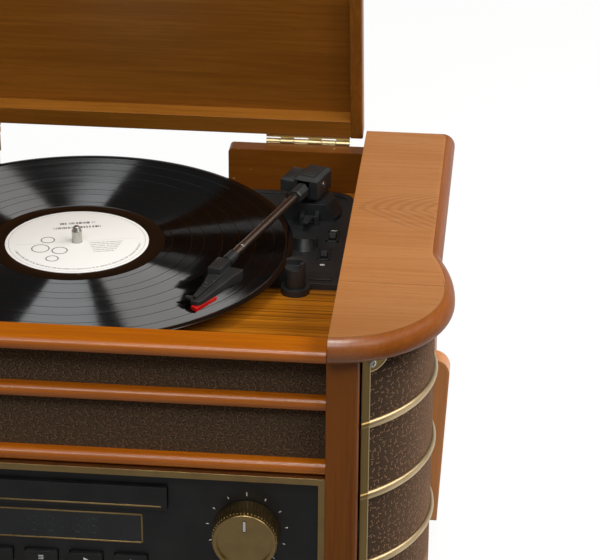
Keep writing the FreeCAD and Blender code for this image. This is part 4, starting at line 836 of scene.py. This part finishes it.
def front_trim(champagne, red):
    """Bright line on the disc drawer, a frame round the window and a standby lamp."""
    line = block((-66.0, CONTROL_FACE - 0.25, 99.0), (66.0, CONTROL_FACE + 0.1, 100.1), 0.1)
    piece("drawer_line", line, "drawer", champagne)
    near, far = FASCIA_FACE - 0.4, FASCIA_FACE + 0.1
    edge, reach, low, high = 1.1, 53.2, 68.8, 91.2
    bars = [block((-reach, near, z), (reach, far, z + edge), 0.15) for z in (low, high - edge)]
    bars += [block((x, near, low), (x + edge, far, high), 0.15) for x in (-reach, reach - edge)]
    piece("window_frame", join(bars), "cabinet", champagne)
    lens = turning([(0, 0), (1.5, 0), (1.4, 0.5), (0.9, 0.9), (0, 1.05)], 24)
    carry(lens, TO_FRONT, shift(-64.0, FASCIA_FACE, BUTTON_HEIGHT))
    piece("standby_lamp", lens, "cabinet", red)


def rear_sockets(gold, red, white, steel):
    """Two line sockets on the back panel, and the pins of the mains inlet."""
    shell = [(2.0, -0.2), (7.0, -0.2), (7.0, 1.0), (6.6, 1.4), (4.3, 1.4), (4.3, 8.6), (4.0, 9.0), (2.9, 9.0),
             (2.9, 4.0), (2.0, 4.0), (2.0, -0.2)]
    insert = [(1.6, 3.9), (2.85, 3.9), (2.85, 8.2), (1.6, 8.2), (1.6, 3.9)]
    for name, x, tone, slot in (("right_line", -132.0, red, "red"), ("left_line", -152.0, white, "switch")):
        seat = (TO_BACK, shift(x, BACK_FACE, SOCKET_HEIGHT))
        piece(f"{name}_socket", carry(turning(shell, 40), *seat), "cabinet", gold)
        piece(f"{name}_insert", carry(turning(insert, 32), *seat), "cabinet", tone)
    pin = turning([(0, 0), (1.2, 0), (1.2, 6.6), (0.7, 7.4), (0, 7.4)], 20)
    pins = copies(pin, [shift(x, BACK_FACE - 9.0, SOCKET_HEIGHT) @ TO_BACK for x in (120.7, 129.3)])
    piece("inlet_pins", pins, "cabinet", steel)


def lid_bumpers(rubber):
    """Thin rubber dots that meet the front rail when the lid is shut."""
    dot = turning([(0, 0.1), (4.0, 0.1), (4.0, -0.3), (3.6, -0.45), (0, -0.45)], 32)
    dots = copies(dot, [shift(x, -158.0, LID_UNDERSIDE) for x in (-150.0, 150.0)])
    piece("lid_bumpers", carry(dots, *lid_place()), "lid", rubber)


# Finishes of the set's own parts
def dress():
    """Give every part of the set its finish, and return those that the fittings use."""
    shoulder = wood("shoulder_veneer", srgb(187, 126, 72), srgb(176, 113, 59), "x", figure=shoulder_arches,
                    gloss=0.42, shine=0.24)
    edging = wood("edging_lacquer", srgb(152, 84, 26), srgb(136, 72, 19), "y", pore=0.1, gloss=0.34,
                  shine=0.14, polish=nose_polish)
    rail = wood("rail_lacquer", srgb(187, 102, 5), srgb(167, 86, 2), "x", pore=0.15, gloss=0.25, shine=0.75)
    post = wood("post_lacquer", srgb(133, 73, 15), srgb(114, 60, 8), "z", pore=0.15, gloss=0.3, shine=0.3,
                ease=1.2)
    # paler wood than the shoulder veneer, raised further as painted light for the light the fin catches from
    # the right
    fin = wood("fin_lacquer_painted_light", srgb(238, 162, 98), srgb(218, 144, 86), "z", pore=0.12, gloss=0.3, ease=2.0)
    deck = wood("deck_veneer", srgb(198, 122, 26), srgb(172, 100, 16), "x", stripe=0.75,
                stripe_tone=srgb(92, 48, 8), figure=plate_dark_patch, gloss=0.26, shine=0.36)
    block_wood = wood("block_lacquer", srgb(120, 68, 18), srgb(109, 61, 13), "x", pore=0.25, gloss=0.3,
                      shine=0.12, wear=0.8)
    lid = wood("lid_veneer", srgb(165, 104, 34), srgb(141, 86, 22), "x", pore=0.25, shine=0.3)
    stile = wood("stile_veneer", srgb(154, 97, 31), srgb(132, 79, 21), "z", pore=0.25, shine=0.3)
    side = wood("side_veneer", srgb(172, 106, 54), srgb(146, 82, 38), "z", gloss=0.36, shine=0.3)
    brown_board = board("brown_fibreboard", srgb(70, 46, 28), srgb(104, 74, 48))
    champagne = metal("champagne_trim", srgb(172, 144, 96), 0.36, ease=0.6)
    # one frame paint in two tones: painted shade on strips and ears, painted light on rings
    frames = frame_paint("speaker_frame_paint_lit_and_shaded", srgb(146, 121, 75), srgb(184, 162, 124))
    # painted highlight: the bead is the frame's own edge, given a paler metal than the frame paint
    bright = metal("bead_painted_highlight", srgb(206, 186, 146), 0.42)
    gold = metal("hinge_brass", srgb(206, 186, 142), 0.36, "x")
    steel = metal("turned_steel", srgb(190, 188, 182), 0.24, "z")
    bronze = metal("sintered_bronze", srgb(150, 105, 62), 0.4)
    zinc = metal("zinc_plate", srgb(160, 163, 168), 0.42)
    cast = metal("cast_platter_metal", srgb(176, 176, 174), 0.34)
    arm = metal("arm_tube_metal", srgb(146, 134, 124), 0.3, "y")
    black = plastic("black_moulding", srgb(34, 36, 36), 0.4)
    panel = plastic("satin_panel", srgb(24, 23, 23), 0.35, 3.0, 0.015)
    rubber = plastic("black_rubber", srgb(26, 26, 26), 0.8, 1.2, 0.05)
    red = plastic("red_guard_moulding", srgb(196, 22, 16), 0.22, 3.0, 0.01, coat=0.4)
    switch = plastic("switch_moulding", srgb(34, 35, 35), 0.35)
    white = plastic("white_print", srgb(214, 214, 210), 0.5, 2.0, 0.01)
    knob = metal("knob_champagne", srgb(172, 146, 98), 0.3)
    glass = plastic("smoked_window", srgb(18, 20, 23), 0.12, 0.6, 0.004, coat=0.6)
    figures = plastic("unlit_segments", srgb(44, 49, 52), 0.3, 1.0, 0.004)
    green = plastic("green_board", srgb(24, 92, 48), 0.4, 0.8, 0.04)
    cone = plastic("paper_cone", srgb(34, 33, 32), 0.8, 1.0, 0.12)
    finishes = {
        shoulder: "shoulder_right shoulder_left", edging: "shoulder_edgings", post: "front_posts",
        rail: "front_rail slat_upper slat_lower bottom_rail", fin: "rear_fins inner_walls", deck: "deck",
        block_wood: "hinge_blocks", lid: "lid_rails lid_panel", stile: "lid_stiles", side: "side_panels",
        brown_board: "base_panel back_panel", champagne: "fascia_bezel", frames: "speaker_frames",
        gold: "hinge_leaves lid_hinge_leaves hinge_pins", steel: "spindle screws motor_pulley",
        bronze: "platter_bearing", zinc: "motor transformer control_pots", cast: "platter", arm: "arm_tube",
        black: "arm_base_plate arm_pedestal arm_rest arm_housing headshell mains_inlet cd_loader cue_lever",
        panel: "fascia cd_drawer power_button source_button play_button open_button",
        rubber: "rubber_feet platter_mat drive_belt", red: "stylus_guard", switch: "speed_switch stop_switch",
        knob: "volume_knob tuning_knob", glass: "display_window", green: "main_board",
        cone: "speaker_drivers",
    }
    for finish, names in finishes.items():
        for name in names.split():
            nodes[name].material_slots[0].material = finish
    return {"black": black, "steel": steel, "gold": gold, "white": white, "red": red, "knob": knob,
            "champagne": champagne, "bright": bright, "figures": figures, "rubber": rubber}


# Studio
def camera():
    """Long lens from the front right, looking down; places and angles are fitted to the photograph."""
    yaw, pitch, roll = 5.389, 26.252, 0.292
    data = bpy.data.cameras.new("camera")
    data.lens, data.sensor_width = 155.58, 36.0
    made = bpy.data.objects.new("camera", data)
    turn = spin_by(yaw, "Z") @ spin_by(90 - pitch, "X") @ spin_by(roll, "Z")
    made.matrix_world = shift(0.2916, -1.5950, 0.9797) @ turn
    scene.collection.objects.link(made)
    scene.camera = made


def softbox(name, place, aim, size, power, tone):
    """Rectangular lamp turned to its aim, hidden from the camera."""
    data = bpy.data.lights.new(name, "AREA")
    data.shape = "RECTANGLE"
    data.size, data.size_y = size
    data.energy, data.color = power, tone
    made = bpy.data.objects.new(name, data)
    made.location = place
    made.rotation_mode = "QUATERNION"
    made.rotation_quaternion = (Vector(aim) - Vector(place)).to_track_quat("-Z", "Y")
    made.visible_camera = False
    scene.collection.objects.link(made)


def seen(f):
    """1 for rays from the camera and for what polished faces show of the surroundings."""
    total = 0.0
    for ray in ("Is Camera Ray", "Is Glossy Ray", "Is Transmission Ray"):
        total = f.node("ShaderNodeLightPath", None, None, ray) + total
    return f.rise(total, 0.0, 1.0)


def mirror_rays(f):
    return f.node("ShaderNodeLightPath", None, None, "Is Glossy Ray")


AMBIENT, SKY_DIMMING = 0.14, 0.85
FLOOR_TONE, FLOOR_GLOW, FLOOR_DIMMING = 0.22, 0.85, 0.8


def studio_lamps():
    softbox("front_softbox", (-0.14, -1.47, 1.87), (0.05, 0.0, 0.2), (1.5, 0.6), 13.8, (0.97, 0.99, 1.0))
    softbox("side_softbox", (1.45, -0.2, 1.5), (0.1, 0.0, 0.2), (2.3, 0.9), 27.5, (1.0, 0.975, 0.95))
    softbox("top_softbox", (0.2, -0.48, 1.88), (0.15, -0.1, 0.2), (0.5, 0.5), 9.2, (1.0, 0.98, 0.95))


def studio_sky():
    """White to the camera, faint as a lamp, and dim ahead and above in what polished faces mirror."""
    sky = bpy.data.worlds.new("studio")
    sky.use_nodes = True
    scene.world = sky
    f = Finish(sky.node_tree)
    way = f.node("ShaderNodeTexCoord", out="Generated")
    back, up = (f.node("ShaderNodeSeparateXYZ", None, {0: way}, axis) for axis in (1, 2))
    dim = f.rise(back, 0.1, -0.5).maths("MAXIMUM", f.rise(up, 0.1, 0.4))
    room = 1.0 - mirror_rays(f) * dim * SKY_DIMMING
    level = AMBIENT + seen(f) * (room - AMBIENT)
    glow = f.node("ShaderNodeBackground", None, {"Color": (1, 1, 1, 1), "Strength": level})
    f.node("ShaderNodeOutputWorld", None, {0: glow})


def studio_floor():
    """Pale floor that takes shadows; its glow is dim ahead in what polished faces mirror."""
    mesh = bmesh.new()
    bmesh.ops.create_grid(mesh, x_segments=1, y_segments=1, size=8.0)
    data = bpy.data.meshes.new("floor")
    mesh.to_mesh(data)
    mesh.free()
    floor = bpy.data.objects.new("floor", data)
    scene.collection.objects.link(floor)
    pale, f = new_finish("pale_floor")
    matt = f.node("ShaderNodeBsdfDiffuse", None, {"Color": (FLOOR_TONE, FLOOR_TONE, FLOOR_TONE, 1)})
    ahead = f.rise(f.places()[1], -90.0, -230.0)
    level = seen(f) * (FLOOR_GLOW - mirror_rays(f) * ahead * FLOOR_DIMMING)
    glow = f.node("ShaderNodeEmission", None, {"Color": (1, 1, 1, 1), "Strength": level})
    both = f.node("ShaderNodeAddShader", None, {0: matt, 1: glow})
    f.node("ShaderNodeOutputMaterial", None, {0: both})
    data.materials.append(pale)


kit = dress()
record_and_label()
front_cloth()
drum_cloths()
frame_beads(kit["bright"])
screw_heads(kit["steel"], kit["gold"])
arm_fittings(kit["black"], kit["steel"])
plate_fittings(kit["black"], kit["white"])
headshell_fittings(kit["black"])
knob_fittings(kit["knob"], kit["white"])
button_signs(kit["white"])
display_figures(kit["figures"])
front_trim(kit["champagne"], kit["red"])
rear_sockets(kit["gold"], kit["red"], kit["white"], kit["steel"])
lid_bumpers(kit["rubber"])
camera()
studio_lamps()
studio_sky()
studio_floor()
scene.view_settings.view_transform = "Standard"
